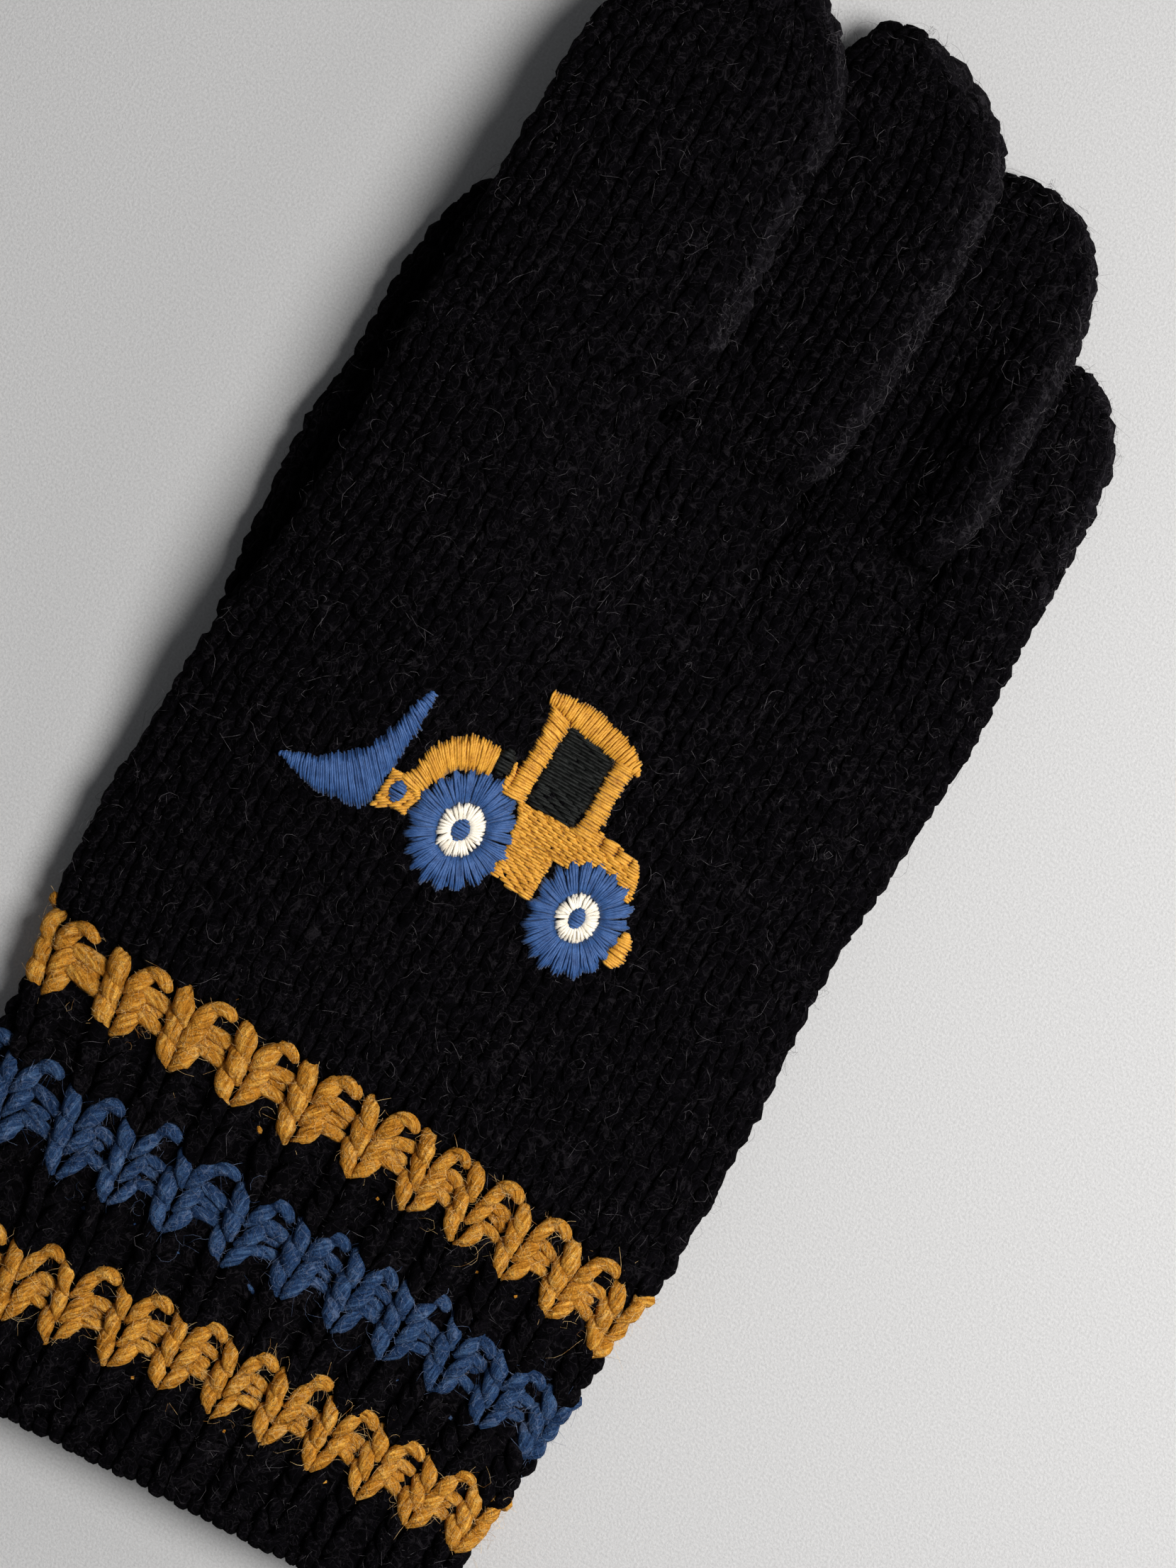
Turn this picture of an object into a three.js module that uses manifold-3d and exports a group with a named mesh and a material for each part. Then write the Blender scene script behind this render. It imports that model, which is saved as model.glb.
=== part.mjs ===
// A child's knitted glove for the right hand, lying palm down on a flat surface with its thumb folded beneath the palm.
// Millimetres. +Z is up out of the back of the hand, +Y points from the cuff's mouth to the fingertips, +X to the little finger.
// The glove is built in the pieces that it is knitted in: a ribbed cuff of three black and three coloured bands, a hand tube,
// four finger tubes and a thumb tube, and a wheel loader embroidered on the back of the hand as flat sewn patches.
import * as THREE from "three";
import Module from "manifold-3d";
import { mergeVertices } from "three/addons/utils/BufferGeometryUtils.js";

// Driving dimensions
const WALL = 1.6; // knitted fabric
const GAP = 0.3; // between neighbouring pieces
const LAY_ROOM = 0.3; // further room between a finger and the one that it lies on, for the facets
const RIBS = 23; // knit ribs round the cuff
const RIB_DEPTH = 0.45; // half the height of a rib's wave
const COURSE = 2.44; // one row of stitches
const HAND_START = 48.8; // where the ribbed cuff ends and the plain knitting starts
const HAND_END = 126; // where the fingers start
const THREAD_LIFT = 0.4; // air between the hand and the sewn patches
const THREAD_DEPTH = 0.8; // raised embroidery
const POINTS_HAND = 40,
  POINTS_FINGER = 20;

const colour = (r, g, b, roughness) => new THREE.MeshStandardMaterial({ color: new THREE.Color(r, g, b), roughness, metalness: 0 });
const BLACK_WOOL = colour(0.012, 0.011, 0.014, 0.95);
const YELLOW_WOOL = colour(0.72, 0.36, 0.06, 0.9);
const BLUE_WOOL = colour(0.028, 0.075, 0.19, 0.9);
const YELLOW_THREAD = colour(0.78, 0.4, 0.04, 0.55);
const BLUE_THREAD = colour(0.045, 0.12, 0.36, 0.55);
const WHITE_THREAD = colour(0.9, 0.84, 0.72, 0.55);
const DARK_THREAD = colour(0.022, 0.026, 0.024, 0.55);

// Each row is a cross-section at a distance y from the cuff's mouth. left and right are the outline seen from above, thick is the
// height of the flattened tube, square its superellipse exponent, z_left and z_right the height of its middle at either side.
const columns = (names, rows) => rows.map((r) => Object.fromEntries(names.map((n, i) => [n, r[i]])));
const HAND = columns(
  ["y", "left", "right", "thick", "square", "z_left", "z_right"],
  [
    [0, -36.0, 36.4, 12.6, 2.3, 6.0, 6.0],
    [12, -36.5, 37.0, 12.0, 2.3, 5.7, 5.7],
    [24, -36.9, 37.6, 11.6, 2.3, 5.5, 5.5],
    [36, -37.2, 38.4, 11.6, 2.3, 5.5, 5.5],
    [48, -38.8, 39.6, 11.8, 2.3, 5.6, 5.6],
    [60, -39.9, 39.6, 12.0, 2.4, 5.9, 5.7],
    [72, -39.5, 38.9, 12.0, 2.4, 7.2, 5.7],
    [82, -39.0, 38.1, 11.8, 2.4, 10.0, 5.7],
    [92, -37.5, 38.2, 11.4, 2.4, 12.9, 5.6],
    [102, -36.5, 38.7, 11.0, 2.4, 14.5, 5.5],
    [114, -36.4, 39.1, 10.6, 2.4, 14.5, 5.3],
    [126, -36.6, 38.2, 10.2, 2.6, 14.3, 5.1],
  ],
);
// A finger's right edge lies over its neighbour's left edge. z_left and z_right are the least heights of its middle line there,
// and z_right rises further where the neighbour below needs it to.
const FINGER = ["y", "left", "right", "thick", "square", "z_left", "z_right"];
const FINGERS = {
  little_finger: columns(FINGER, [
    [126.3, 25.9, 38.1, 9.9, 2.8, 5.1, 5.1],
    [128.4, 25.8, 38.1, 9.9, 2.5, 5.0, 5.0],
    [132, 24.2, 38.0, 10.1, 2.1, 4.8, 4.9],
    [139, 22.6, 37.9, 10.3, 1.95, 4.6, 4.8],
    [145, 22.2, 37.5, 10.2, 1.9, 4.5, 4.7],
    [150.4, 23.0, 36.0, 8.8, 1.9, 4.3, 4.5],
    [153.8, 24.7, 33.6, 7.0, 1.9, 4.2, 4.3],
    [155.7, 26.7, 31.0, 3.8, 1.9, 4.1, 4.2],
  ]),
  ring_finger: columns(FINGER, [
    [126.3, 9.4, 25.4, 10.4, 2.8, 5.1, 5.1],
    [128.4, 9.3, 25.4, 10.5, 2.5, 5.0, 5.1],
    [132, 8.6, 26.8, 10.5, 2.1, 4.8, 5.2],
    [139, 7.4, 27.3, 10.8, 1.95, 4.5, 5.4],
    [148, 6.9, 27.3, 10.7, 1.9, 4.3, 5.4],
    [159, 7.1, 26.6, 10.4, 1.9, 4.3, 5.2],
    [165.6, 7.9, 24.7, 9.0, 1.9, 4.2, 4.9],
    [169.2, 9.3, 21.8, 7.2, 1.9, 4.1, 4.6],
    [170.8, 11.4, 18.6, 3.8, 1.9, 4.1, 4.5],
  ]),
  middle_finger: columns(FINGER, [
    [126.3, -8.4, 8.9, 10.4, 2.8, 8.4, 5.1],
    [128.4, -8.4, 8.9, 10.5, 2.5, 7.6, 5.2],
    [132, -9.2, 10.4, 10.7, 2.1, 7.1, 5.4],
    [139, -10.6, 11.3, 10.8, 1.95, 6.9, 5.6],
    [149, -11.2, 11.6, 10.8, 1.9, 6.8, 5.8],
    [162, -11.2, 11.6, 10.6, 1.9, 6.6, 5.6],
    [170, -11.3, 9.8, 9.6, 1.9, 6.3, 5.4],
    [175.4, -10.9, 5.6, 7.4, 1.9, 6.1, 5.1],
    [178.2, -8.2, -0.9, 3.8, 1.9, 6.0, 4.9],
  ]),
  index_finger: columns(FINGER, [
    [126.3, -36.6, -8.8, 10.0, 2.8, 14.5, 12.6],
    [128.4, -36.6, -8.8, 10.0, 2.5, 14.5, 12.4],
    [132, -36.7, -6.8, 10.1, 2.2, 14.4, 12.2],
    [139, -36.8, -6.2, 10.2, 2.0, 14.2, 11.8],
    [147, -36.8, -6.6, 10.8, 1.95, 13.6, 11.2],
    [158, -36.8, -7.2, 10.7, 1.95, 12.0, 10.5],
    [166, -35.8, -8.2, 10.3, 1.95, 10.6, 10.0],
    [172.6, -33.2, -12.2, 9.2, 1.95, 9.6, 9.6],
    [176.4, -29.6, -16.8, 7.4, 1.95, 9.1, 9.2],
    [178.4, -25.6, -20.6, 3.8, 1.95, 9.0, 9.0],
  ]),
};
const THUMB = columns(FINGER, [
  [70, -35.0, -20.4, 7.4, 2.2, 4.3, 4.3],
  [82, -38.8, -19.0, 8.5, 2.2, 4.3, 4.3],
  [94, -40.8, -18.6, 8.7, 2.1, 4.3, 4.3],
  [106, -41.8, -18.8, 8.7, 2.1, 4.3, 4.3],
  [118, -41.3, -19.0, 8.7, 2.1, 4.3, 4.3],
  [130, -41.2, -19.6, 8.7, 2.1, 4.3, 4.3],
  [138, -39.6, -21.4, 8.3, 2.0, 4.3, 4.3],
  [143, -36.8, -24.0, 7.0, 2.0, 4.2, 4.2],
  [145.6, -33.0, -28.0, 4.0, 2.0, 4.1, 4.1],
]);

// The table's row at any y, on a smooth curve through its rows.
function rowAt(table, y) {
  const last = table.length - 1;
  let i = 0;
  while (i < last - 1 && y > table[i + 1].y) i++;
  const a = table[i],
    b = table[i + 1],
    h = b.y - a.y,
    t = Math.min(1, Math.max(0, (y - a.y) / h));
  const slope = (k, n) => {
    const p = table[Math.max(0, k - 1)],
      q = table[Math.min(last, k + 1)];
    return (q[n] - p[n]) / (q.y - p.y);
  };
  const out = { y, table };
  for (const n of Object.keys(a))
    if (n !== "y" && n !== "table")
      out[n] =
        (2 * t ** 3 - 3 * t ** 2 + 1) * a[n] + (t ** 3 - 2 * t ** 2 + t) * h * slope(i, n) + (3 * t ** 2 - 2 * t ** 3) * b[n] + (t ** 3 - t ** 2) * h * slope(i + 1, n);
  return out;
}
function smooth(t) {
  const c = Math.min(1, Math.max(0, t));
  return c * c * (3 - 2 * c);
}
// Height of the section's middle line at x: the hand climbs over the thumb at its left, and a finger lies flat at its left and
// bends up over its neighbour at its right.
function middle(row, x) {
  const u = (x - row.left) / (row.right - row.left);
  if (row.table === HAND) return row.z_right + (row.z_left - row.z_right) * smooth((0.57 - u) / 0.32);
  const bend = smooth((row.y - HAND_END) / 3),
    up = u + (smooth((u - 0.42) / 0.5) - u) * bend;
  return row.z_left + (row.z_right - row.z_left) * up;
}
// Half the section's thickness at x.
function halfThick(row, x) {
  const u = Math.min(1, Math.abs((2 * x - row.left - row.right) / (row.right - row.left)));
  return (row.thick / 2) * (1 - u ** row.square) ** (1 / row.square);
}
// Lays a finger on its neighbour: z_right rises until the finger clears the neighbour's top by a gap, here and at the next station.
function laidOn(table, below, stations) {
  const rows = stations.map((y) => rowAt(table, y));
  if (!below) return rows;
  const rise = rows.map((row) => {
    if (row.y > below[below.length - 1].y + 2) return 0;
    const b = rowAt(below, row.y);
    let most = 0;
    for (let x = Math.max(b.left, row.left) + 0.05; x < row.right; x += 0.1) {
      const need = middle(b, x) + halfThick(b, x) + GAP + LAY_ROOM + halfThick(row, x) - middle(row, x);
      const share = middle({ ...row, z_left: 0, z_right: 1 }, x);
      if (need > 0) most = Math.max(most, need / Math.max(0.05, share));
    }
    return most;
  });
  rows.forEach((row, k) => k && (row.z_right += Math.max(rise[k], 0.9 * (rise[k + 1] || 0), 0.7 * (rise[k - 1] || 0))));
  return rows;
}
// n points round a section, evenly spaced from the right edge over the top, inset from the outside by inset and flattened on the floor.
function section(row, n, inset, wave = 0) {
  const fine = 360,
    xm = (row.left + row.right) / 2,
    a = Math.max(0.35, (row.right - row.left) / 2 - inset),
    b = Math.max(0.3, row.thick / 2 - inset),
    dense = [];
  for (let k = 0; k < fine; k++) {
    const c = Math.cos((2 * Math.PI * k) / fine),
      s = Math.sin((2 * Math.PI * k) / fine),
      x = xm + a * Math.sign(c) * Math.abs(c) ** (2 / row.square),
      z = middle(row, x) + b * Math.sign(s) * Math.abs(s) ** (2 / row.square);
    dense.push(new THREE.Vector2(x, Math.max(z, Math.max(0, inset))));
  }
  const along = [0];
  for (let k = 1; k <= fine; k++) along.push(along[k - 1] + dense[k % fine].distanceTo(dense[k - 1]));
  const points = [];
  for (let i = 0, k = 0; i < n; i++) {
    const want = (along[fine] * i) / n;
    while (along[k + 1] < want) k++;
    const t = (want - along[k]) / (along[k + 1] - along[k] || 1),
      p = dense[k].clone().lerp(dense[(k + 1) % fine], t),
      d = dense[(k + 1) % fine].clone().sub(dense[k]).normalize();
    if (wave) p.add(new THREE.Vector2(d.y, -d.x).multiplyScalar(wave * Math.cos((2 * Math.PI * RIBS * i) / n)));
    points.push(new THREE.Vector2(p.x, Math.max(p.y, Math.max(0, inset))));
  }
  return points;
}
// A hollow tube through stations along Y. closed rounds its far end off outside and inside.
function tube(table, stations, n, { closed = false, inset = 0, wall = WALL, wave = 0 } = {}) {
  const at = [],
    faces = [],
    rings = [];
  const ring = (y, ins) => {
    rings.push(at.length);
    for (const p of section(rowAt(table, y), n, ins, wave)) at.push([p.x, y, p.y]);
    return rings[rings.length - 1];
  };
  const quads = (r, s, flip) => {
    for (let i = 0; i < n; i++) {
      const j = (i + 1) % n,
        q = [r + i, r + j, s + j, s + i];
      if (flip) q.reverse();
      faces.push([q[0], q[1], q[2]], [q[0], q[2], q[3]]);
    }
  };
  const cap = (r, y, flip) => {
    const c = at.length;
    let x = 0,
      z = 0;
    for (let i = 0; i < n; i++) {
      x += at[r + i][0] / n;
      z += at[r + i][2] / n;
    }
    at.push([x, y, z]);
    for (let i = 0; i < n; i++) faces.push(flip ? [c, r + i, r + ((i + 1) % n)] : [c, r + ((i + 1) % n), r + i]);
  };
  const outer = stations.map((y) => ring(y, inset));
  outer.slice(1).forEach((r, i) => quads(r, outer[i], false));
  const tip = stations[stations.length - 1];
  if (wall > 0) {
    const innerStations = closed ? stations.filter((y) => y < tip - wall * 1.6).concat([tip - wall * 1.5]) : stations;
    const inner = innerStations.map((y) => ring(y, inset + wall));
    inner.slice(1).forEach((r, i) => quads(r, inner[i], true));
    quads(outer[0], inner[0], false);
    if (closed) cap(inner[inner.length - 1], tip - wall, true);
    else quads(inner[inner.length - 1], outer[outer.length - 1], false);
  } else {
    cap(outer[0], stations[0], true);
    if (!closed) cap(outer[outer.length - 1], tip, false);
  }
  if (closed) cap(outer[outer.length - 1], tip + 0.5, false);
  const g = new THREE.BufferGeometry();
  g.setAttribute("position", new THREE.Float32BufferAttribute(at.flat(), 3));
  g.setIndex(faces.flat());
  return g;
}

// Joining and cutting
const wasm = await Module();
wasm.setup();
function solid(geometry) {
  const g = geometry.clone();
  g.deleteAttribute("normal");
  g.deleteAttribute("uv");
  const m = mergeVertices(g, 1e-4);
  return new wasm.Manifold(new wasm.Mesh({ numProp: 3, vertProperties: new Float32Array(m.attributes.position.array), triVerts: new Uint32Array(m.index.array) }));
}
function geometryOf(s) {
  const m = s.getMesh(),
    g = new THREE.BufferGeometry();
  g.setAttribute("position", new THREE.BufferAttribute(new Float32Array(m.vertProperties), 3));
  g.setIndex(new THREE.BufferAttribute(new Uint32Array(m.triVerts), 1));
  return g;
}

const glove = new THREE.Group();
glove.name = "glove";
function piece(name, geometry, material) {
  geometry.computeVertexNormals();
  const mesh = new THREE.Mesh(geometry, material);
  mesh.name = name;
  glove.add(mesh);
}

// The ribbed cuff, in courses counted from its mouth
const CUFF = columns(
  ["name", "first", "last", "wool"],
  [
    ["cuff_welt", 0, 5, BLACK_WOOL],
    ["lower_yellow_stripe", 5, 8, YELLOW_WOOL],
    ["lower_black_rib", 8, 11, BLACK_WOOL],
    ["blue_stripe", 11, 14, BLUE_WOOL],
    ["upper_black_rib", 14, 17, BLACK_WOOL],
    ["upper_yellow_stripe", 17, 20, YELLOW_WOOL],
  ],
);
for (const band of CUFF) {
  const from = band.first * COURSE + (band.first ? GAP / 2 : 0),
    to = band.last * COURSE - GAP / 2;
  piece(band.name, tube(HAND, [from, to], 2 * RIBS, { wave: RIB_DEPTH }), band.wool);
}

// The hand, open at the thumb, and the thumb, which stops short of the hand
const handStations = [HAND_START + GAP / 2, 57, 66, 75, 84, 92, 100, 109, 118, HAND_END];
const thumbStations = [70, 78, 86, 94, 106, 118, 129, 136, 141, 144, 145.6];
const hand = solid(tube(HAND, handStations, POINTS_HAND)).subtract(solid(tube(THUMB, thumbStations, POINTS_FINGER, { closed: true, inset: WALL + 1.5 * GAP, wall: 0 })));
const handRoom = solid(tube(HAND, [40, ...handStations, 130], POINTS_HAND, { inset: -1.5 * GAP, wall: 0 }));
const thumb = solid(tube(THUMB, thumbStations, POINTS_FINGER, { closed: true })).subtract(handRoom);
const largest = (s) => s.decompose().sort((a, b) => b.volume() - a.volume())[0];
piece("hand", geometryOf(largest(hand)), BLACK_WOOL);
piece("thumb", geometryOf(largest(thumb)), BLACK_WOOL);
const FINGER_ROOT = [126.3, 127.2, 128.4, 130.4, 134];
let below = null;
for (const [name, table] of Object.entries(FINGERS)) {
  const tip = table[table.length - 1].y,
    stations = [...FINGER_ROOT, ...[0.2, 0.4, 0.58, 0.74, 0.88, 0.96, 1].map((t) => 134 + (tip - 134) * t)];
  below = laidOn(table, below, stations);
  piece(name, tube(below, stations, POINTS_FINGER, { closed: true }), BLACK_WOOL);
}

// The embroidered wheel loader. Outlines are drawn flat and then laid over the back of the hand.
const backOfHand = (x, y) => {
  const row = rowAt(HAND, y);
  return middle(row, x) + halfThick(row, x);
};
const plate = (shape) => solid(new THREE.ExtrudeGeometry(shape, { depth: THREAD_DEPTH, bevelEnabled: false, curveSegments: 1 }));
const fromRows = (rows) => new THREE.Shape([...rows.map((r) => new THREE.Vector2(r.left, r.y)), ...[...rows].reverse().map((r) => new THREE.Vector2(r.right, r.y))]);
const oval = (c, rx, ry, n = 18, lobe = 0) =>
  new THREE.Shape(
    Array.from({ length: n }, (_, k) => {
      const t = (2 * Math.PI * k) / n,
        grow = 1 + lobe * (k % 2 ? -1 : 1);
      return new THREE.Vector2(c.x + rx * grow * Math.cos(t), c.y + ry * grow * Math.sin(t));
    }),
  );
function sewn(name, flat, thread) {
  const g = geometryOf(largest(flat)),
    p = g.attributes.position;
  for (let i = 0; i < p.count; i++) p.setZ(i, p.getZ(i) + backOfHand(p.getX(i), p.getY(i)) + THREAD_LIFT);
  piece(name, g, thread);
}
const SPAN = ["y", "left", "right"];
// The shape of the rows with a gap's width all round.
const room = (rows) =>
  Array.from({ length: 8 }, (_, k) => {
    const t = (Math.PI * k) / 4,
      moved = rows.map((r) => ({ y: r.y + GAP * Math.sin(t), left: r.left + GAP * Math.cos(t), right: r.right + GAP * Math.cos(t) }));
    return plate(fromRows(moved));
  }).reduce((a, b) => a.add(b));
const WHEELS = columns(
  ["name", "x", "y", "tyre_x", "tyre_y", "rim_x", "rim_y", "hub_x", "hub_y"],
  [
    ["front", -4.3, 78.5, 5.65, 6.5, 2.45, 3.1, 1.15, 1.3],
    ["rear", 11.0, 76.7, 5.3, 6.5, 2.3, 2.8, 1.05, 1.2],
  ],
);
const wheelRoom = WHEELS.map((w) => plate(oval(w, w.tyre_x * 1.04 + GAP, w.tyre_y * 1.04 + GAP))).reduce((a, b) => a.add(b));
for (const w of WHEELS) {
  const rimOut = plate(oval(w, w.rim_x, w.rim_y)),
    rimRoom = plate(oval(w, w.rim_x + GAP, w.rim_y + GAP)),
    hubRoom = plate(oval(w, w.hub_x + GAP, w.hub_y + GAP, 12));
  sewn(w.name + "_tyre", plate(oval(w, w.tyre_x, w.tyre_y, 36, 0.03)).subtract(rimRoom), BLUE_THREAD);
  sewn(w.name + "_rim", rimOut.subtract(hubRoom), WHITE_THREAD);
  sewn(w.name + "_hub", plate(oval(w, w.hub_x, w.hub_y, 12)), BLUE_THREAD);
}
const bucketRows = columns(SPAN, [
  [89.64, -14.63, -14.16],
  [87.44, -15.36, -13.91],
  [85.24, -15.73, -13.97],
  [83.05, -16.42, -14.1],
  [81.16, -17.55, -14.16],
  [79.59, -19.19, -14.23],
  [78.02, -21.01, -14.23],
  [76.92, -22.4, -14.26],
  [76.14, -25.4, -14.29],
  [75.35, -24.3, -14.63],
  [74.73, -21.76, -15.42],
  [74.25, -20.29, -18.09],
]);
const bucket = plate(fromRows(bucketRows));
sewn("bucket", bucket, BLUE_THREAD);
const pivotAt = { x: -12.6, y: 78.6 };
sewn("bucket_pivot", plate(oval(pivotAt, 1.05, 1.15, 12)), BLUE_THREAD);
const LINK = columns(SPAN, [
  [80.4, -13.6, -10.6],
  [79.6, -13.95, -10.2],
  [77.4, -13.95, -10.4],
  [76.4, -13.9, -12.2],
]);
sewn("boom_link", plate(fromRows(LINK)).subtract(plate(oval(pivotAt, 1.05 + GAP, 1.15 + GAP, 12))).subtract(wheelRoom), YELLOW_THREAD);
// The bonnet arches over the front wheel: its two edges by angle about that wheel's centre.
const BONNET = columns(
  ["angle", "inner", "outer"],
  [
    [157, 6.5, 8.6],
    [148, 6.6, 8.8],
    [137, 6.8, 9.6],
    [124, 6.8, 10.2],
    [112, 6.8, 10.4],
    [103, 6.8, 10.2],
    [95, 6.8, 9.9],
  ],
);
const polar = (w, angle, r) => new THREE.Vector2(w.x + r * Math.cos(THREE.MathUtils.degToRad(angle)), w.y + r * Math.sin(THREE.MathUtils.degToRad(angle)));
const bonnet = new THREE.Shape([...BONNET.map((r) => polar(WHEELS[0], r.angle, r.outer)), ...[...BONNET].reverse().map((r) => polar(WHEELS[0], r.angle, r.inner))]);
const exhaustAt = { x: -4.2, y: 87.1 };
const exhaustRoom = plate(oval(exhaustAt, 0.85 + GAP, 1.15 + GAP, 12));
sewn("bonnet", plate(bonnet).subtract(wheelRoom).subtract(exhaustRoom), YELLOW_THREAD);
sewn("exhaust", plate(oval(exhaustAt, 0.85, 1.15, 12)), DARK_THREAD);
const CAB = columns(SPAN, [
  [96.95, 0.3, 3.7],
  [96.6, -3.3, 4.8],
  [95.9, -3.3, 6.3],
  [94.8, -3.2, 8.1],
  [94.0, -2.5, 8.8],
  [93.3, -2.4, 9.0],
  [93.1, -2.4, 8.3],
  [90.6, -2.2, 8.3],
  [87.4, -2.3, 8.35],
  [85.7, -2.9, 8.4],
  [84.5, -2.6, 8.0],
]);
const WINDOW = columns(SPAN, [
  [93.7, 0.1, 3.9],
  [93.2, 0.05, 6.0],
  [90.6, 0.0, 6.05],
  [87.4, -0.05, 6.1],
  [85.2, -0.05, 6.05],
  [84.5, 0.2, 5.3],
]);
const windowRoom = room(WINDOW);
sewn("cab_frame", plate(fromRows(CAB)).subtract(windowRoom).subtract(wheelRoom).subtract(exhaustRoom), YELLOW_THREAD);
sewn("cab_window", plate(fromRows(WINDOW)), DARK_THREAD);
const CHASSIS = columns(SPAN, [
  [84.9, 8.75, 10.6],
  [84.2, 8.4, 13.8],
  [83.9, -0.6, 14.5],
  [82.4, 0.2, 15.0],
  [80.9, 0.4, 15.3],
  [80.6, 0.4, 5.8],
  [78.3, 0.4, 5.8],
  [75.9, 0.5, 5.8],
]);
const cabRoom = room(CAB);
sewn("chassis", plate(fromRows(CHASSIS)).subtract(wheelRoom).subtract(cabRoom).subtract(windowRoom), YELLOW_THREAD);
const BUMPER = columns(SPAN, [
  [77.9, 15.9, 17.3],
  [76.0, 15.9, 17.6],
  [74.0, 15.7, 17.3],
]);
sewn("rear_bumper", plate(fromRows(BUMPER)).subtract(wheelRoom), YELLOW_THREAD);

// The origin is under the middle of the glove, on the surface that it lies on.
const box = new THREE.Box3().setFromObject(glove);
glove.position.set(-(box.min.x + box.max.x) / 2, -(box.min.y + box.max.y) / 2, 0);

export default glove;
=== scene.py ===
# A child's knitted wool glove, lying palm down with its thumb folded beneath the palm, in yarn and thread.
# Lengths are in millimetres until a mesh is made. x is across the hand, y runs from the cuff's mouth to the fingertips, z is up.
import math

import bpy
import numpy as np
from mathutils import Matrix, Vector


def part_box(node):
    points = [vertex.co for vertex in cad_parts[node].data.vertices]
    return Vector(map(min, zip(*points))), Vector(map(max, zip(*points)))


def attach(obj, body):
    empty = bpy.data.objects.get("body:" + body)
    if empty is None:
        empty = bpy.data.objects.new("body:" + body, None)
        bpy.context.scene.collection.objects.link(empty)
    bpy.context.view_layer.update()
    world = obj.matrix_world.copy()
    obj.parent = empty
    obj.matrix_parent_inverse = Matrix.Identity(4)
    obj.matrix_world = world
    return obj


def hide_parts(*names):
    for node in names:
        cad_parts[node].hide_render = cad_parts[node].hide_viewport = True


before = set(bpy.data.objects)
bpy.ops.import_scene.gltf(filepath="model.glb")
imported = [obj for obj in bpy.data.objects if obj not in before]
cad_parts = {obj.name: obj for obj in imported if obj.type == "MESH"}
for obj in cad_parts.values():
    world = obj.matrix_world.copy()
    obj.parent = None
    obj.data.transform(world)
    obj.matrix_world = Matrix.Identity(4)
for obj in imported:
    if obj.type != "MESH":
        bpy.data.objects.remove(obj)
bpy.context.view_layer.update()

rng = np.random.default_rng(7144)

# ---------------------------------------------------------------- the glove's shape, as in the solid model
COURSE = 2.44
STITCH = 3.38
HAND_START = 48.8
HAND_END = 126.0
GAP = 0.3
LAY_ROOM = 0.3


def columns(names, rows):
    return {n: np.array([r[i] for r in rows], float) for i, n in enumerate(names)}


SECTION = ["y", "left", "right", "thick", "square", "z_left", "z_right"]
HAND = columns(
    SECTION,
    [
        [0, -36.0, 36.4, 12.6, 2.3, 6.0, 6.0],
        [12, -36.5, 37.0, 12.0, 2.3, 5.7, 5.7],
        [24, -36.9, 37.6, 11.6, 2.3, 5.5, 5.5],
        [36, -37.2, 38.4, 11.6, 2.3, 5.5, 5.5],
        [48, -38.8, 39.6, 11.8, 2.3, 5.6, 5.6],
        [60, -39.9, 39.6, 12.0, 2.4, 5.9, 5.7],
        [72, -39.5, 38.9, 12.0, 2.4, 7.2, 5.7],
        [82, -39.0, 38.1, 11.8, 2.4, 10.0, 5.7],
        [92, -37.5, 38.2, 11.4, 2.4, 12.9, 5.6],
        [102, -36.5, 38.7, 11.0, 2.4, 14.5, 5.5],
        [114, -36.4, 39.1, 10.6, 2.4, 14.5, 5.3],
        [126, -36.6, 38.2, 10.2, 2.6, 14.3, 5.1],
    ],
)
LITTLE = columns(
    SECTION,
    [
        [126.3, 25.9, 38.1, 9.9, 2.8, 5.1, 5.1],
        [128.4, 25.8, 38.1, 9.9, 2.5, 5.0, 5.0],
        [132, 24.2, 38.0, 10.1, 2.1, 4.8, 4.9],
        [139, 22.6, 37.9, 10.3, 1.95, 4.6, 4.8],
        [145, 22.2, 37.5, 10.2, 1.9, 4.5, 4.7],
        [150.4, 23.0, 36.0, 8.8, 1.9, 4.3, 4.5],
        [153.8, 24.7, 33.6, 7.0, 1.9, 4.2, 4.3],
        [155.7, 26.7, 31.0, 3.8, 1.9, 4.1, 4.2],
    ],
)
RING = columns(
    SECTION,
    [
        [126.3, 9.4, 25.4, 10.4, 2.8, 5.1, 5.1],
        [128.4, 9.3, 25.4, 10.5, 2.5, 5.0, 5.1],
        [132, 8.6, 26.8, 10.5, 2.1, 4.8, 5.2],
        [139, 7.4, 27.3, 10.8, 1.95, 4.5, 5.4],
        [148, 6.9, 27.3, 10.7, 1.9, 4.3, 5.4],
        [159, 7.1, 26.6, 10.4, 1.9, 4.3, 5.2],
        [165.6, 7.9, 24.7, 9.0, 1.9, 4.2, 4.9],
        [169.2, 9.3, 21.8, 7.2, 1.9, 4.1, 4.6],
        [170.8, 11.4, 18.6, 3.8, 1.9, 4.1, 4.5],
    ],
)
MIDDLE = columns(
    SECTION,
    [
        [126.3, -8.4, 8.9, 10.4, 2.8, 8.4, 5.1],
        [128.4, -8.4, 8.9, 10.5, 2.5, 7.6, 5.2],
        [132, -9.2, 10.4, 10.7, 2.1, 7.1, 5.4],
        [139, -10.6, 11.3, 10.8, 1.95, 6.9, 5.6],
        [149, -11.2, 11.6, 10.8, 1.9, 6.8, 5.8],
        [162, -11.2, 11.6, 10.6, 1.9, 6.6, 5.6],
        [170, -11.3, 9.8, 9.6, 1.9, 6.3, 5.4],
        [175.4, -10.9, 5.6, 7.4, 1.9, 6.1, 5.1],
        [178.2, -8.2, -0.9, 3.8, 1.9, 6.0, 4.9],
    ],
)
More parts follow.
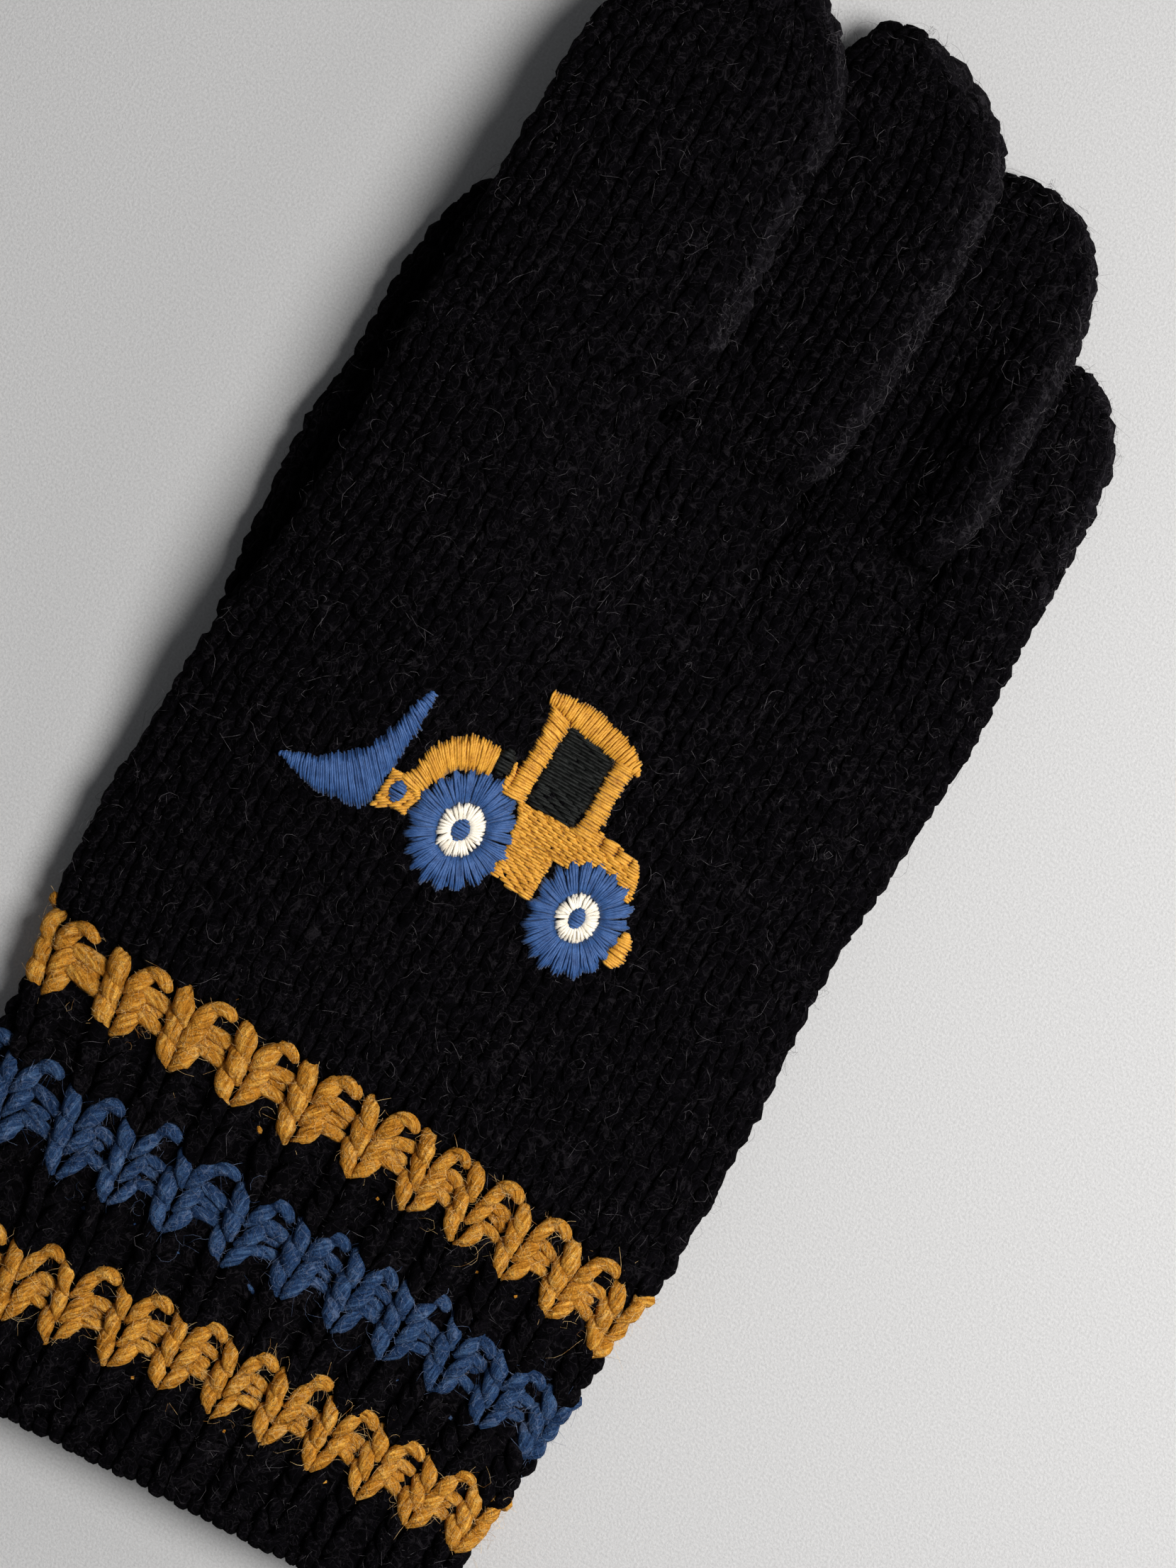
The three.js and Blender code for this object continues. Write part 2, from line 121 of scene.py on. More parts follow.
INDEX = columns(
    SECTION,
    [
        [126.3, -36.6, -8.8, 10.0, 2.8, 14.5, 12.6],
        [128.4, -36.6, -8.8, 10.0, 2.5, 14.5, 12.4],
        [132, -36.7, -6.8, 10.1, 2.2, 14.4, 12.2],
        [139, -36.8, -6.2, 10.2, 2.0, 14.2, 11.8],
        [147, -36.8, -6.6, 10.8, 1.95, 13.6, 11.2],
        [158, -36.8, -7.2, 10.7, 1.95, 12.0, 10.5],
        [166, -35.8, -8.2, 10.3, 1.95, 10.6, 10.0],
        [172.6, -33.2, -12.2, 9.2, 1.95, 9.6, 9.6],
        [176.4, -29.6, -16.8, 7.4, 1.95, 9.1, 9.2],
        [178.4, -25.6, -20.6, 3.8, 1.95, 9.0, 9.0],
    ],
)
THUMB = columns(
    SECTION,
    [
        [70, -35.0, -20.4, 7.4, 2.2, 4.3, 4.3],
        [82, -38.8, -19.0, 8.5, 2.2, 4.3, 4.3],
        [94, -40.8, -18.6, 8.7, 2.1, 4.3, 4.3],
        [106, -41.8, -18.8, 8.7, 2.1, 4.3, 4.3],
        [118, -41.3, -19.0, 8.7, 2.1, 4.3, 4.3],
        [130, -41.2, -19.6, 8.7, 2.1, 4.3, 4.3],
        [138, -39.6, -21.4, 8.3, 2.0, 4.3, 4.3],
        [143, -36.8, -24.0, 7.0, 2.0, 4.2, 4.2],
        [145.6, -33.0, -28.0, 4.0, 2.0, 4.1, 4.1],
    ],
)


def smooth(t):
    c = np.clip(t, 0, 1)
    return c * c * (3 - 2 * c)


def row_at(table, y):
    """The table's row at any y, on a smooth curve through its rows."""
    ys, y = table["y"], np.asarray(y, float)
    last = len(ys) - 1
    i = np.searchsorted(ys[1:last], y, side="left")
    h = ys[i + 1] - ys[i]
    t = np.clip((y - ys[i]) / h, 0, 1)
    out = {"y": y, "hand": table is HAND}
    for n, v in table.items():
        if n in ("y", "hand"):
            continue

        def slope(k):
            p, q = np.maximum(0, k - 1), np.minimum(last, k + 1)
            return (v[q] - v[p]) / (ys[q] - ys[p])

        out[n] = (2 * t**3 - 3 * t**2 + 1) * v[i] + (t**3 - 2 * t**2 + t) * h * slope(i) + (3 * t**2 - 2 * t**3) * v[i + 1] + (t**3 - t**2) * h * slope(i + 1)
    return out


def middle(row, x):
    """Height of the section's middle line at x."""
    u = (x - row["left"]) / (row["right"] - row["left"])
    if row["hand"]:
        return row["z_right"] + (row["z_left"] - row["z_right"]) * smooth((0.57 - u) / 0.32)
    bend = smooth((row["y"] - HAND_END) / 3)
    up = u + (smooth((u - 0.42) / 0.5) - u) * bend
    return row["z_left"] + (row["z_right"] - row["z_left"]) * up


def half_thick(row, x):
    u = np.minimum(1, np.abs((2 * x - row["left"] - row["right"]) / (row["right"] - row["left"])))
    return (row["thick"] / 2) * (1 - u ** row["square"]) ** (1 / row["square"])


def laid_on(table, below):
    """The finger at its stations, each risen until it clears the neighbour that it lies on."""
    tip = table["y"][-1]
    at = np.concatenate([[126.3, 127.2, 128.4, 130.4, 134], 134 + (tip - 134) * np.array([0.2, 0.4, 0.58, 0.74, 0.88, 0.96, 1])])
    rows = {n: v for n, v in row_at(table, at).items() if n != "hand"}
    if below is None:
        return rows
    rise = np.zeros(len(at))
    for k, y in enumerate(at):
        if y > below["y"][-1] + 2:
            continue
        row = {n: v[k] for n, v in rows.items()}
        row["hand"] = False
        b = row_at(below, y)
        x = np.arange(max(float(b["left"]), row["left"]) + 0.05, row["right"], 0.1)
        need = middle(b, x) + half_thick(b, x) + GAP + LAY_ROOM + half_thick(row, x) - middle(row, x)
        share = np.maximum(0.05, middle({**row, "z_left": 0.0, "z_right": 1.0}, x))
        if len(x):
            rise[k] = max(0.0, float(np.where(need > 0, need / share, 0).max()))
    for k in range(1, len(at)):
        after = rise[k + 1] if k + 1 < len(at) else 0
        rows["z_right"][k] += max(rise[k], 0.9 * after, 0.7 * rise[k - 1])
    return rows


def rings(table, ys, n, inset=0.0):
    """n points round the section at each y, evenly spaced from the right edge over the top."""
    fine = 360
    row = {k: (v[:, None] if isinstance(v, np.ndarray) else v) for k, v in row_at(table, np.asarray(ys, float)).items()}
    a = np.maximum(0.35, (row["right"] - row["left"]) / 2 - inset)
    b = np.maximum(0.3, row["thick"] / 2 - inset)
    k = 2 * math.pi * np.arange(fine) / fine
    c, s = np.cos(k)[None], np.sin(k)[None]
    x = (row["left"] + row["right"]) / 2 + a * np.sign(c) * np.abs(c) ** (2 / row["square"])
    z = np.maximum(middle(row, x) + b * np.sign(s) * np.abs(s) ** (2 / row["square"]), max(0, inset))
    out = np.zeros((len(x), n, 3))
    for i in range(len(x)):
        px, pz = np.append(x[i], x[i, 0]), np.append(z[i], z[i, 0])
        along = np.concatenate([[0], np.cumsum(np.hypot(np.diff(px), np.diff(pz)))])
        want = along[-1] * np.arange(n) / n
        out[i, :, 0], out[i, :, 1], out[i, :, 2] = np.interp(want, along, px), ys[i], np.interp(want, along, pz)
    return out


def unit(v):
    return v / np.maximum(np.linalg.norm(v, axis=-1, keepdims=True), 1e-9)


class Tube:
    """A surface with a place for every share s round it, from its right edge over the top, and every length m along it."""

    N, STEP = 240, 0.4

    def __init__(self, table, y0, y1, closed=False):
        ys = np.append(np.arange(y0, y1 - 0.2, 0.5), y1)
        p = rings(table, ys, self.N)
        if closed:
            centre = p[-1].mean(0)
            caps = []
            for f in (0.85, 0.65, 0.45, 0.25, 0.06):
                ring = centre + (p[-1] - centre) * f
                ring[:, 1] = y1 + 0.5 * (1 - f * f)
                caps.append(ring)
            p = np.concatenate([p, np.array(caps)])
        seg = np.linalg.norm(np.diff(p, axis=0), axis=2).mean(1)
        m = np.concatenate([[0], np.cumsum(seg)])
        self.length = m[-1]
        want = np.linspace(0, m[-1], max(4, round(m[-1] / self.STEP)))
        self.step = want[1]
        i = np.clip(np.searchsorted(m, want, side="right") - 1, 0, len(m) - 2)
        t = ((want - m[i]) / (m[i + 1] - m[i]))[:, None, None]
        self.p = p[i] * (1 - t) + p[i + 1] * t
        ds = np.roll(self.p, -2, axis=1) - np.roll(self.p, 2, axis=1)
        self.dm = unit(np.gradient(self.p, axis=0))
        self.n = unit(np.cross(self.dm, ds))
        self.round = np.linalg.norm(np.roll(self.p, -1, axis=1) - self.p, axis=2).sum(1)

    def girth(self, m):
        return np.interp(m, np.arange(len(self.round)) * self.step, self.round)

    def at(self, s, m, d=0.0):
        """Points d above the surface, and the normals there."""
        s, m = np.broadcast_arrays(np.asarray(s, float), np.asarray(m, float))
        inside = np.clip(m, 0, self.length)
        i = np.clip(inside / self.step, 0, len(self.p) - 1.001)
        j = (s % 1.0) * self.N
        i0, j0 = i.astype(int), j.astype(int) % self.N
        j1, fi, fj = (j0 + 1) % self.N, (i - i0)[..., None], (j - np.floor(j))[..., None]

        def mix(g):
            return (g[i0, j0] * (1 - fj) + g[i0, j1] * fj) * (1 - fi) + (g[i0 + 1, j0] * (1 - fj) + g[i0 + 1, j1] * fj) * fi

        n = unit(mix(self.n))
        p = mix(self.p) + n * np.asarray(d, float)[..., None] + mix(self.dm) * (m - inside)[..., None]
        return p, n


little_rows = laid_on(LITTLE, None)
ring_rows = laid_on(RING, little_rows)
middle_rows = laid_on(MIDDLE, ring_rows)
index_rows = laid_on(INDEX, middle_rows)

cuff = Tube(HAND, 0, HAND_START)
hand = Tube(HAND, HAND_START, HAND_END)
thumb = Tube(THUMB, 70, 145.6, closed=True)
fingers = {
    "index_finger": Tube(index_rows, 126.3, INDEX["y"][-1], closed=True),
    "middle_finger": Tube(middle_rows, 126.3, MIDDLE["y"][-1], closed=True),
    "ring_finger": Tube(ring_rows, 126.3, RING["y"][-1], closed=True),
    "little_finger": Tube(little_rows, 126.3, LITTLE["y"][-1], closed=True),
}

# the solid model's frame: its pivot patch is at (-12.6, 78.6) here
_lo, _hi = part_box("bucket_pivot")
SHIFT = np.array([(_lo[0] + _hi[0]) * 500 + 12.6, (_lo[1] + _hi[1]) * 500 - 78.6, 0.0])


# ---------------------------------------------------------------- meshes
class Yarn:
    """Closed strands gathered into one mesh."""

    def __init__(self):
        self.v, self.q, self.t, self.uq, self.ut, self.count = [], [], [], [], [], 0
        self.lines = []

    def strands(self, p, n, wide, high, sides=6, twist=0.35, ply=0.0):
        """p (strands, rings, 3) are centre lines and n the directions that face out; wide and high the half sizes of their sections. ply is how deep its two plies are cut."""
        if not len(p):
            return
        k, rings_ = p.shape[:2]
        wide, high = np.broadcast_to(wide, (k, rings_)), np.broadcast_to(high, (k, rings_))
        self.lines.append((p, n, wide))
        t = unit(np.gradient(p, axis=1))
        b = unit(np.cross(t, n))
        u = np.cross(b, t)
        a = 2 * math.pi * np.arange(sides) / sides
        ring = (b * wide[..., None])[:, :, None] * np.cos(a)[:, None] + (u * high[..., None])[:, :, None] * np.sin(a)[:, None]
        if ply:
            turned = np.concatenate([np.zeros((k, 1)), np.cumsum(np.linalg.norm(np.diff(p, axis=1), axis=2), axis=1)], axis=1) * 1.9 + rng.random((k, 1)) * 6
            ring = ring * (1 + ply * np.cos(2 * a[None, None] + turned[..., None]))[..., None]
        ring = ring + p[:, :, None]
        first = p[:, 0] - t[:, 0] * (wide[:, :1] * 0.55)
        last = p[:, -1] + t[:, -1] * (wide[:, -1:] * 0.55)
        each = rings_ * sides + 2
        verts = np.concatenate([ring.reshape(k, -1, 3), first[:, None], last[:, None]], axis=1).reshape(-1, 3)
        i, j = np.meshgrid(np.arange(rings_ - 1), np.arange(sides), indexing="ij")
        j1 = (j + 1) % sides
        q = np.stack([i * sides + j, (i + 1) * sides + j, (i + 1) * sides + j1, i * sides + j1], axis=-1).reshape(-1, 4)
        js = np.arange(sides)
        t0 = np.stack([np.full(sides, each - 2), js, (js + 1) % sides], axis=-1)
        t1 = np.stack([np.full(sides, each - 1), (rings_ - 1) * sides + (js + 1) % sides, (rings_ - 1) * sides + js], axis=-1)
        base = self.count + np.arange(k)[:, None, None] * each
        self.v.append(verts)
        self.q.append((q[None] + base).reshape(-1, 4))
        self.t.append((np.concatenate([t0, t1])[None] + base).reshape(-1, 3))
        # UV in millimetres: along the strand with a random start, and round it with the ply's twist
        along = np.concatenate([np.zeros((k, 1)), np.cumsum(np.linalg.norm(np.diff(p, axis=1), axis=2), axis=1)], axis=1)
        start = rng.random((k, 1)) * 200
        girth = math.pi * (wide.mean(1) + high.mean(1))[:, None]

        def uv(ii, jj):
            al = along[:, ii]
            wide_, first_ = (g.reshape(-1, *[1] * (al.ndim - 1)) for g in (girth, start))
            return np.stack([al + first_, jj / sides * wide_ + al * twist + first_ * 1.7], axis=-1)

        self.uq.append(np.stack([uv(i, j), uv(i + 1, j), uv(i + 1, j + 1), uv(i, j + 1)], axis=-2).reshape(-1, 2))
        zero, end = np.zeros(sides, int), np.full(sides, rings_ - 1)
        self.ut.append(
            np.concatenate(
                [
                    np.stack([uv(zero, js + 0.5) + [-0.4, 0], uv(zero, js), uv(zero, js + 1)], axis=-2),
                    np.stack([uv(end, js + 0.5) + [0.4, 0], uv(end, js + 1), uv(end, js)], axis=-2),
                ],
                axis=1,
            ).reshape(-1, 2)
        )
        self.count += k * each

    def make(self, name, *materials):
        v, q, t = np.concatenate(self.v), np.concatenate(self.q), np.concatenate(self.t)
        # what would reach below the surface that the glove lies on is pressed flat
        v[:, 2] = np.where(v[:, 2] < 0.3, 0.02 + 0.28 * np.exp((v[:, 2] - 0.3) / 0.28), v[:, 2])
        return mesh_of(name, v, q, t, np.concatenate(self.uq), np.concatenate(self.ut), materials)


def mesh_of(name, v, q, t, uq, ut, materials, which=None):
    mesh = bpy.data.meshes.new(name)
    mesh.vertices.add(len(v))
    mesh.vertices.foreach_set("co", ((v + SHIFT) * 0.001).astype(np.float32).ravel())
    mesh.loops.add(4 * len(q) + 3 * len(t))
    mesh.loops.foreach_set("vertex_index", np.concatenate([q.ravel(), t.ravel()]).astype(np.int32))
    mesh.polygons.add(len(q) + len(t))
    mesh.polygons.foreach_set("loop_start", np.concatenate([np.arange(len(q)) * 4, 4 * len(q) + np.arange(len(t)) * 3]).astype(np.int32))
    mesh.polygons.foreach_set("use_smooth", np.ones(len(q) + len(t), bool))
    if which is not None:
        mesh.polygons.foreach_set("material_index", which.astype(np.int32))
    layer = mesh.uv_layers.new(name="UVMap")
    layer.data.foreach_set("uv", np.concatenate([uq, ut]).astype(np.float32).ravel())
    mesh.update(calc_edges=True)
    mesh.validate()
    for m in materials:
        mesh.materials.append(m)
    o = bpy.data.objects.new(name, mesh)
    bpy.context.scene.collection.objects.link(o)
    return o


# ---------------------------------------------------------------- materials
class Nodes:
    def __init__(self, name):
        self.material = bpy.data.materials.new(name)
        self.material.use_nodes = True
        self.tree = self.material.node_tree
        self.tree.nodes.clear()
        self.out = self.add("ShaderNodeOutputMaterial")
        self.bsdf = self.add("ShaderNodeBsdfPrincipled")
        self.link(self.bsdf, "BSDF", self.out, "Surface")

    def add(self, kind, **values):
        n = self.tree.nodes.new(kind)
        for k, v in values.items():
            if hasattr(n, k):
                setattr(n, k, v)
            else:
                n.inputs[k.replace("_", " ")].default_value = v
        return n

    def link(self, a, out, b, into):
        self.tree.links.new(a.outputs[out], b.inputs[into])

    def noise(self, vector, scale, detail=3.0, rough=0.55, distort=0.0):
        n = self.add("ShaderNodeTexNoise")
        n.inputs["Scale"].default_value, n.inputs["Detail"].default_value = scale, detail
        n.inputs["Roughness"].default_value, n.inputs["Distortion"].default_value = rough, distort
        self.tree.links.new(vector, n.inputs["Vector"])
        return n

    def ramp(self, value, stops):
        n = self.add("ShaderNodeValToRGB")
        e = n.color_ramp.elements
        while len(e) < len(stops):
            e.new(0.5)
        for k, (at, c) in enumerate(stops):
            e[k].position = at
            e[k].color = (*c, 1) if len(c) == 3 else c
        self.tree.links.new(value, n.inputs["Fac"])
        return n.outputs["Color"]

    def scaled(self, vector, scale):
        n = self.add("ShaderNodeMapping")
        n.inputs["Scale"].default_value = scale
        self.tree.links.new(vector, n.inputs["Vector"])
        return n.outputs["Vector"]

    def mix(self, fac, a, b, kind="MIX"):
        n = self.add("ShaderNodeMix", data_type="RGBA", blend_type=kind)
        for value, socket in ((fac, n.inputs[0]), (a, n.inputs[6]), (b, n.inputs[7])):
            if isinstance(value, (int, float)):
                socket.default_value = value
            elif isinstance(value, tuple):
                socket.default_value = (*value, 1)
            else:
                self.tree.links.new(value, socket)
        return n.outputs[2]

    def math(self, kind, a, b=0.0, c=0.0):
        n = self.add("ShaderNodeMath", operation=kind)
        for k, value in enumerate((a, b, c)):
            if isinstance(value, (int, float)):
                n.inputs[k].default_value = value
            else:
                self.tree.links.new(value, n.inputs[k])
        return n.outputs[0]

    def bump(self, height, strength, distance, normal=None):
        n = self.add("ShaderNodeBump")
        n.inputs["Strength"].default_value, n.inputs["Distance"].default_value = strength, distance
        self.tree.links.new(height, n.inputs["Height"])
        if normal is not None:
            self.tree.links.new(normal, n.inputs["Normal"])
        return n.outputs["Normal"]


def fibres(m, vector, scale, thin, seed):
    """Thin curly lines: where a warped noise crosses its middle value."""
    shifted = m.add("ShaderNodeVectorMath", operation="ADD")
    shifted.inputs[1].default_value = (seed * 0.37, seed * 0.21, seed * 0.53)
    m.tree.links.new(vector, shifted.inputs[0])
    n = m.noise(shifted.outputs[0], scale, 1.0, 0.4, 0.8)
    off = m.math("ABSOLUTE", m.math("SUBTRACT", n.outputs["Fac"], 0.5))
    return m.math("SUBTRACT", 1.0, m.math("MINIMUM", 1.0, m.math("DIVIDE", off, thin)))


def wool(name, dark, mid, light, hair, hair_share, sheen, gloss, clumps):
    m = Nodes(name)
    place = m.add("ShaderNodeTexCoord")
    uv, obj = place.outputs["UV"], place.outputs["Object"]
    # fibres along the strand, turned by the ply's twist which the UV holds
    strand = m.noise(m.scaled(uv, (0.34, 2.6, 1)), 1.0, 5.0, 0.7, 0.25)
    ply = m.noise(m.scaled(uv, (0.12, 0.75, 1)), 1.0, 2.0, 0.5)
    patch = m.noise(obj, 1000.0, 4.0, 0.68)
    tone = m.math("ADD", m.math("MULTIPLY", strand.outputs["Fac"], 0.84 - clumps), m.math("ADD", m.math("MULTIPLY", ply.outputs["Fac"], 0.16), m.math("MULTIPLY", patch.outputs["Fac"], clumps)))
    base = m.ramp(tone, [(0.38, dark), (0.5, mid), (0.62, light)])
    lines = m.math("MAXIMUM", fibres(m, obj, 430.0, 0.02, 1), fibres(m, obj, 820.0, 0.026, 2))
    colour = m.mix(m.math("MULTIPLY", lines, hair_share), base, hair)
    m.tree.links.new(colour, m.bsdf.inputs["Base Color"])
    m.bsdf.inputs["Roughness"].default_value = 0.95
    m.bsdf.inputs["Specular IOR Level"].default_value = gloss
    m.bsdf.inputs["Sheen Weight"].default_value = sheen
    m.bsdf.inputs["Sheen Roughness"].default_value = 0.35
    m.bsdf.inputs["Sheen Tint"].default_value = (*[min(1.0, c * 1.6 + 0.1) for c in light], 1)
    n = m.bump(strand.outputs["Fac"], 0.9, 0.0007)
    n = m.bump(patch.outputs["Fac"], 0.8, 0.0003 + 0.0008 * clumps, n)
    fine = m.noise(obj, 2600.0, 3.0, 0.7)
    n = m.bump(fine.outputs["Fac"], 0.9, 0.0005, n)
    n = m.bump(lines, 0.5, 0.0002, n)
    m.tree.links.new(n, m.bsdf.inputs["Normal"])
    return m.material


def loose(name, dim, bright, low=0.42, high=0.62):
    """Single fibres, dim along most of their length, with painted glints where noise brightens their colour, as though
    they caught the light there.
    """
    m = Nodes(name)
    obj = m.add("ShaderNodeTexCoord").outputs["Object"]
    n = m.noise(obj, 700.0, 2.0, 0.6)
    m.tree.links.new(m.ramp(n.outputs["Fac"], [(low, dim), (high, bright)]), m.bsdf.inputs["Base Color"])
    m.bsdf.inputs["Roughness"].default_value = 0.7
    m.bsdf.inputs["Specular IOR Level"].default_value = 0.1
    return m.material


def thread(name, dark, mid, light, gloss=0.32, sheen=0.14):
    m = Nodes(name)
    place = m.add("ShaderNodeTexCoord")
    uv, obj = place.outputs["UV"], place.outputs["Object"]
    strand = m.noise(m.scaled(uv, (1.4, 9.0, 1)), 1.0, 3.0, 0.6)
    patch = m.noise(obj, 900.0, 2.0)
    tone = m.math("ADD", m.math("MULTIPLY", strand.outputs["Fac"], 0.6), m.math("MULTIPLY", patch.outputs["Fac"], 0.4))
    m.tree.links.new(m.ramp(tone, [(0.34, dark), (0.5, mid), (0.66, light)]), m.bsdf.inputs["Base Color"])
    m.bsdf.inputs["Roughness"].default_value = 0.48
    m.bsdf.inputs["Specular IOR Level"].default_value = gloss
    m.bsdf.inputs["Sheen Weight"].default_value = sheen
    m.bsdf.inputs["Sheen Roughness"].default_value = 0.4
    m.tree.links.new(m.bump(strand.outputs["Fac"], 0.5, 0.00012), m.bsdf.inputs["Normal"])
    return m.material


BLACK = wool("black_wool", (0.0006, 0.0005, 0.0008), (0.0019, 0.0016, 0.0024), (0.0058, 0.0049, 0.0068), (0.045, 0.04, 0.047), 0.3, 0.035, 0.02, 0.42)
# lighter and darker copies of the black wool, for painted rim light on the fingers' right edges and painted shade on
# the flanks beside them
BLACK_PAINTED_RIM_LIGHT = wool("black_wool_edge", (0.0016, 0.0014, 0.0019), (0.0052, 0.0045, 0.0062), (0.013, 0.0115, 0.015), (0.07, 0.064, 0.074), 0.4, 0.12, 0.02, 0.42)
BLACK_PAINTED_SHADE = wool("black_wool_shade", (0.0004, 0.0003, 0.0005), (0.0012, 0.001, 0.0015), (0.0038, 0.0032, 0.0045), (0.028, 0.025, 0.03), 0.25, 0.016, 0.02, 0.42)
YELLOW = wool("yellow_wool", (0.2, 0.062, 0.004), (0.61, 0.245, 0.026), (1.0, 0.53, 0.095), (1.0, 0.68, 0.26), 0.34, 0.03, 0.04, 0.2)
BLUE = wool("blue_wool", (0.006, 0.017, 0.052), (0.022, 0.053, 0.135), (0.078, 0.15, 0.29), (0.21, 0.27, 0.42), 0.36, 0.03, 0.04, 0.2)
GOLD_THREAD = thread("yellow_thread", (0.34, 0.125, 0.008), (0.62, 0.29, 0.024), (0.84, 0.45, 0.066))
BLUE_THREAD = thread("blue_thread", (0.007, 0.03, 0.115), (0.024, 0.075, 0.22), (0.055, 0.128, 0.33))
WHITE_THREAD = thread("white_thread", (0.66, 0.58, 0.46), (0.86, 0.79, 0.67), (0.93, 0.89, 0.8))
DARK_THREAD = thread("dark_thread", (0.002, 0.0022, 0.0022), (0.0065, 0.0075, 0.007), (0.017, 0.019, 0.018), 0.12, 0.03)
# fibre materials with painted glints: their bright stretches stand for light caught along the fibres
BLACK_FUZZ = loose("black_wool_fuzz", (0.004, 0.0036, 0.0045), (0.2, 0.185, 0.2), 0.44, 0.66)
YELLOW_FUZZ = loose("yellow_wool_fuzz", (0.3, 0.12, 0.02), (0.95, 0.68, 0.33), 0.35, 0.6)
BLUE_FUZZ = loose("blue_wool_fuzz", (0.02, 0.045, 0.11), (0.24, 0.3, 0.46))


def wear(o, slot, *nodes):
    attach(o, "root")
    if nodes:
        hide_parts(*nodes)
    return o


# ---------------------------------------------------------------- fabric that the stitches are knitted from
def fabric(name, table, y0, y1, n, outer, inner, materials, closed=False, stripes=None):
    """A thin hollow tube beneath the stitches. It is closed at its far end where the piece is."""
    ys = np.append(np.arange(y0, y1 - 1.2, 2.2), y1)
    out = rings(table, ys, n, outer)
    ins = rings(table, ys[ys < y1 - 2.5] if closed else ys, n, inner)
    if closed:
        end = ins[-1] * 1.0
        end[:, 1] = y1 - 2.4
        ins = np.concatenate([ins, [end.mean(0) + (end - end.mean(0)) * 0.8]])
    v = np.concatenate([out.reshape(-1, 3), ins.reshape(-1, 3)])
    if name == "hand_fabric":
        on_top = v[:, 2] > middle(row_at(HAND, v[:, 1]), v[:, 0]) + 0.8
        v[:, 2] += root_change(v[:, 0], v[:, 1]) * on_top
    a, b = len(out), len(ins)
    quads, band, tris = [], [], []
    j = np.arange(n)
    j1 = (j + 1) % n

    def tone(y):
        if stripes is None:
            return 0
        return next((k for lo, hi, k in stripes if lo <= y < hi), 0)

    for i in range(a - 1):
        quads.append(np.stack([i * n + j, i * n + j1, (i + 1) * n + j1, (i + 1) * n + j], -1)[:, ::-1])
        band += [0] * n
    off = a * n
    for i in range(b - 1):
        quads.append(np.stack([off + i * n + j, off + i * n + j1, off + (i + 1) * n + j1, off + (i + 1) * n + j], -1))
        band += [tone((ys[i] + ys[min(i + 1, len(ys) - 1)]) / 2)] * n
    quads.append(np.stack([j, off + j, off + j1, j1], -1)[:, ::-1])
    band += [0] * n
    if closed:
        for ring_start, y, flip in (((a - 1) * n, y1 + 0.1, False), (off + (b - 1) * n, y1 - 1.9, True)):
            c = v[ring_start : ring_start + n].mean(0)
            c[1] = y
            k = len(v)
            v = np.concatenate([v, [c]])
            tri = np.stack([np.full(n, k), ring_start + j1, ring_start + j], -1)
            tris.append(tri[:, ::-1] if flip else tri)
            band += [0] * n
    else:
        quads.append(np.stack([(a - 1) * n + j, off + (b - 1) * n + j, off + (b - 1) * n + j1, (a - 1) * n + j1], -1))
        band += [0] * n
    q = np.concatenate(quads)
    t = np.concatenate(tris) if tris else np.zeros((0, 3), int)
    # quads come first in the mesh, triangles last, as in band
    girth = float(np.linalg.norm(np.roll(out, -1, axis=1) - out, axis=2).sum(1).mean())

    def flat_uv(faces):
        p = v[faces]
        return np.stack([p[..., 1], p[..., 0] * 0.9 + p[..., 2] * 1.1], -1).reshape(-1, 2)

    o = mesh_of(name, v, q, t, flat_uv(q), flat_uv(t), materials, np.array(band))
    return o, (girth / 1000, float(y1 - y0) / 1000)


# ---------------------------------------------------------------- plain knitting
def plain_rows(tube, first, last, start_at=0.0):
    """Stitch places on a tube: share round it, length along it, width."""
    count = max(1, round((last - first) / COURSE))
    out = []
    widest = float(tube.girth(np.linspace(first, last, 60)).max())
    full = round(widest / STITCH / 2) * 2
    for k in range(count):
        m = first + (last - first) * k / count
        g = float(tube.girth(min(max(m + 1.5, 0), tube.length)))
        cols = full if g / full > 0.7 * STITCH else max(4, round(g / STITCH))
        s = (np.arange(cols) + 0.5) / cols + start_at
        out.append(np.stack([s, np.full(cols, m), np.full(cols, g / cols)], -1))
    return np.concatenate(out)


def v_stitches(yarn, tube, places, rings_=6, sides=5, fat=0.84, sink=-0.62, shape=None, lean=0.27):
    """Two legs for each stitch, which meet at the bottom."""
    if not len(places):
        return
    t = np.linspace(0, 1, rings_)[None]
    k = len(places)
    for side in (-1, 1):
        jit = rng.normal(0, 1, (k, 4))
        s0, m0, w = places[:, :1], places[:, 1:2], places[:, 2:3]
        x = side * w * (0.115 + lean * t**0.9) + jit[:, :1] * 0.09 + jit[:, 1:2] * 0.1 * np.sin(math.pi * t)
        v = COURSE * (-0.12 + 1.5 * t) + jit[:, 2:3] * 0.14
        d = sink + 0.34 * np.sin(math.pi * np.clip(t * 1.1, 0, 1)) - 0.34 * t + jit[:, 3:4] * 0.1
        g = tube.girth(m0)
        s, m = s0 - x / g, m0 + v
        if shape is not None:
            p, n = tube.at(s, m, 0.0)
            dm, dd = shape(p, n)
            m, d = m + dm, d + dd
        p, n = tube.at(s, m, d)
        r = fat * np.minimum(1, w / STITCH * 1.1) * (1 + rng.normal(0, 0.07, (k, 1))) * (1 - 0.5 * np.abs(2 * t - 1) ** 3)
        r = r * (1 + rng.normal(0, 0.11, r.shape))
        yarn.strands(p + rng.normal(0, 0.06, p.shape), n, r * 1.08, r * 0.86, sides)


def in_tube(p, table, margin):
    """Which points lie inside a piece by more than margin."""
    y = np.clip(p[:, 1], table["y"][0], table["y"][-1])
    row = row_at(table, y)
    x = p[:, 0]
    return (np.abs(p[:, 2] - middle(row, x)) < half_thick(row, x) - margin) & (x > row["left"] + margin) & (x < row["right"] - margin) & (p[:, 1] > table["y"][0]) & (p[:, 1] < table["y"][-1])


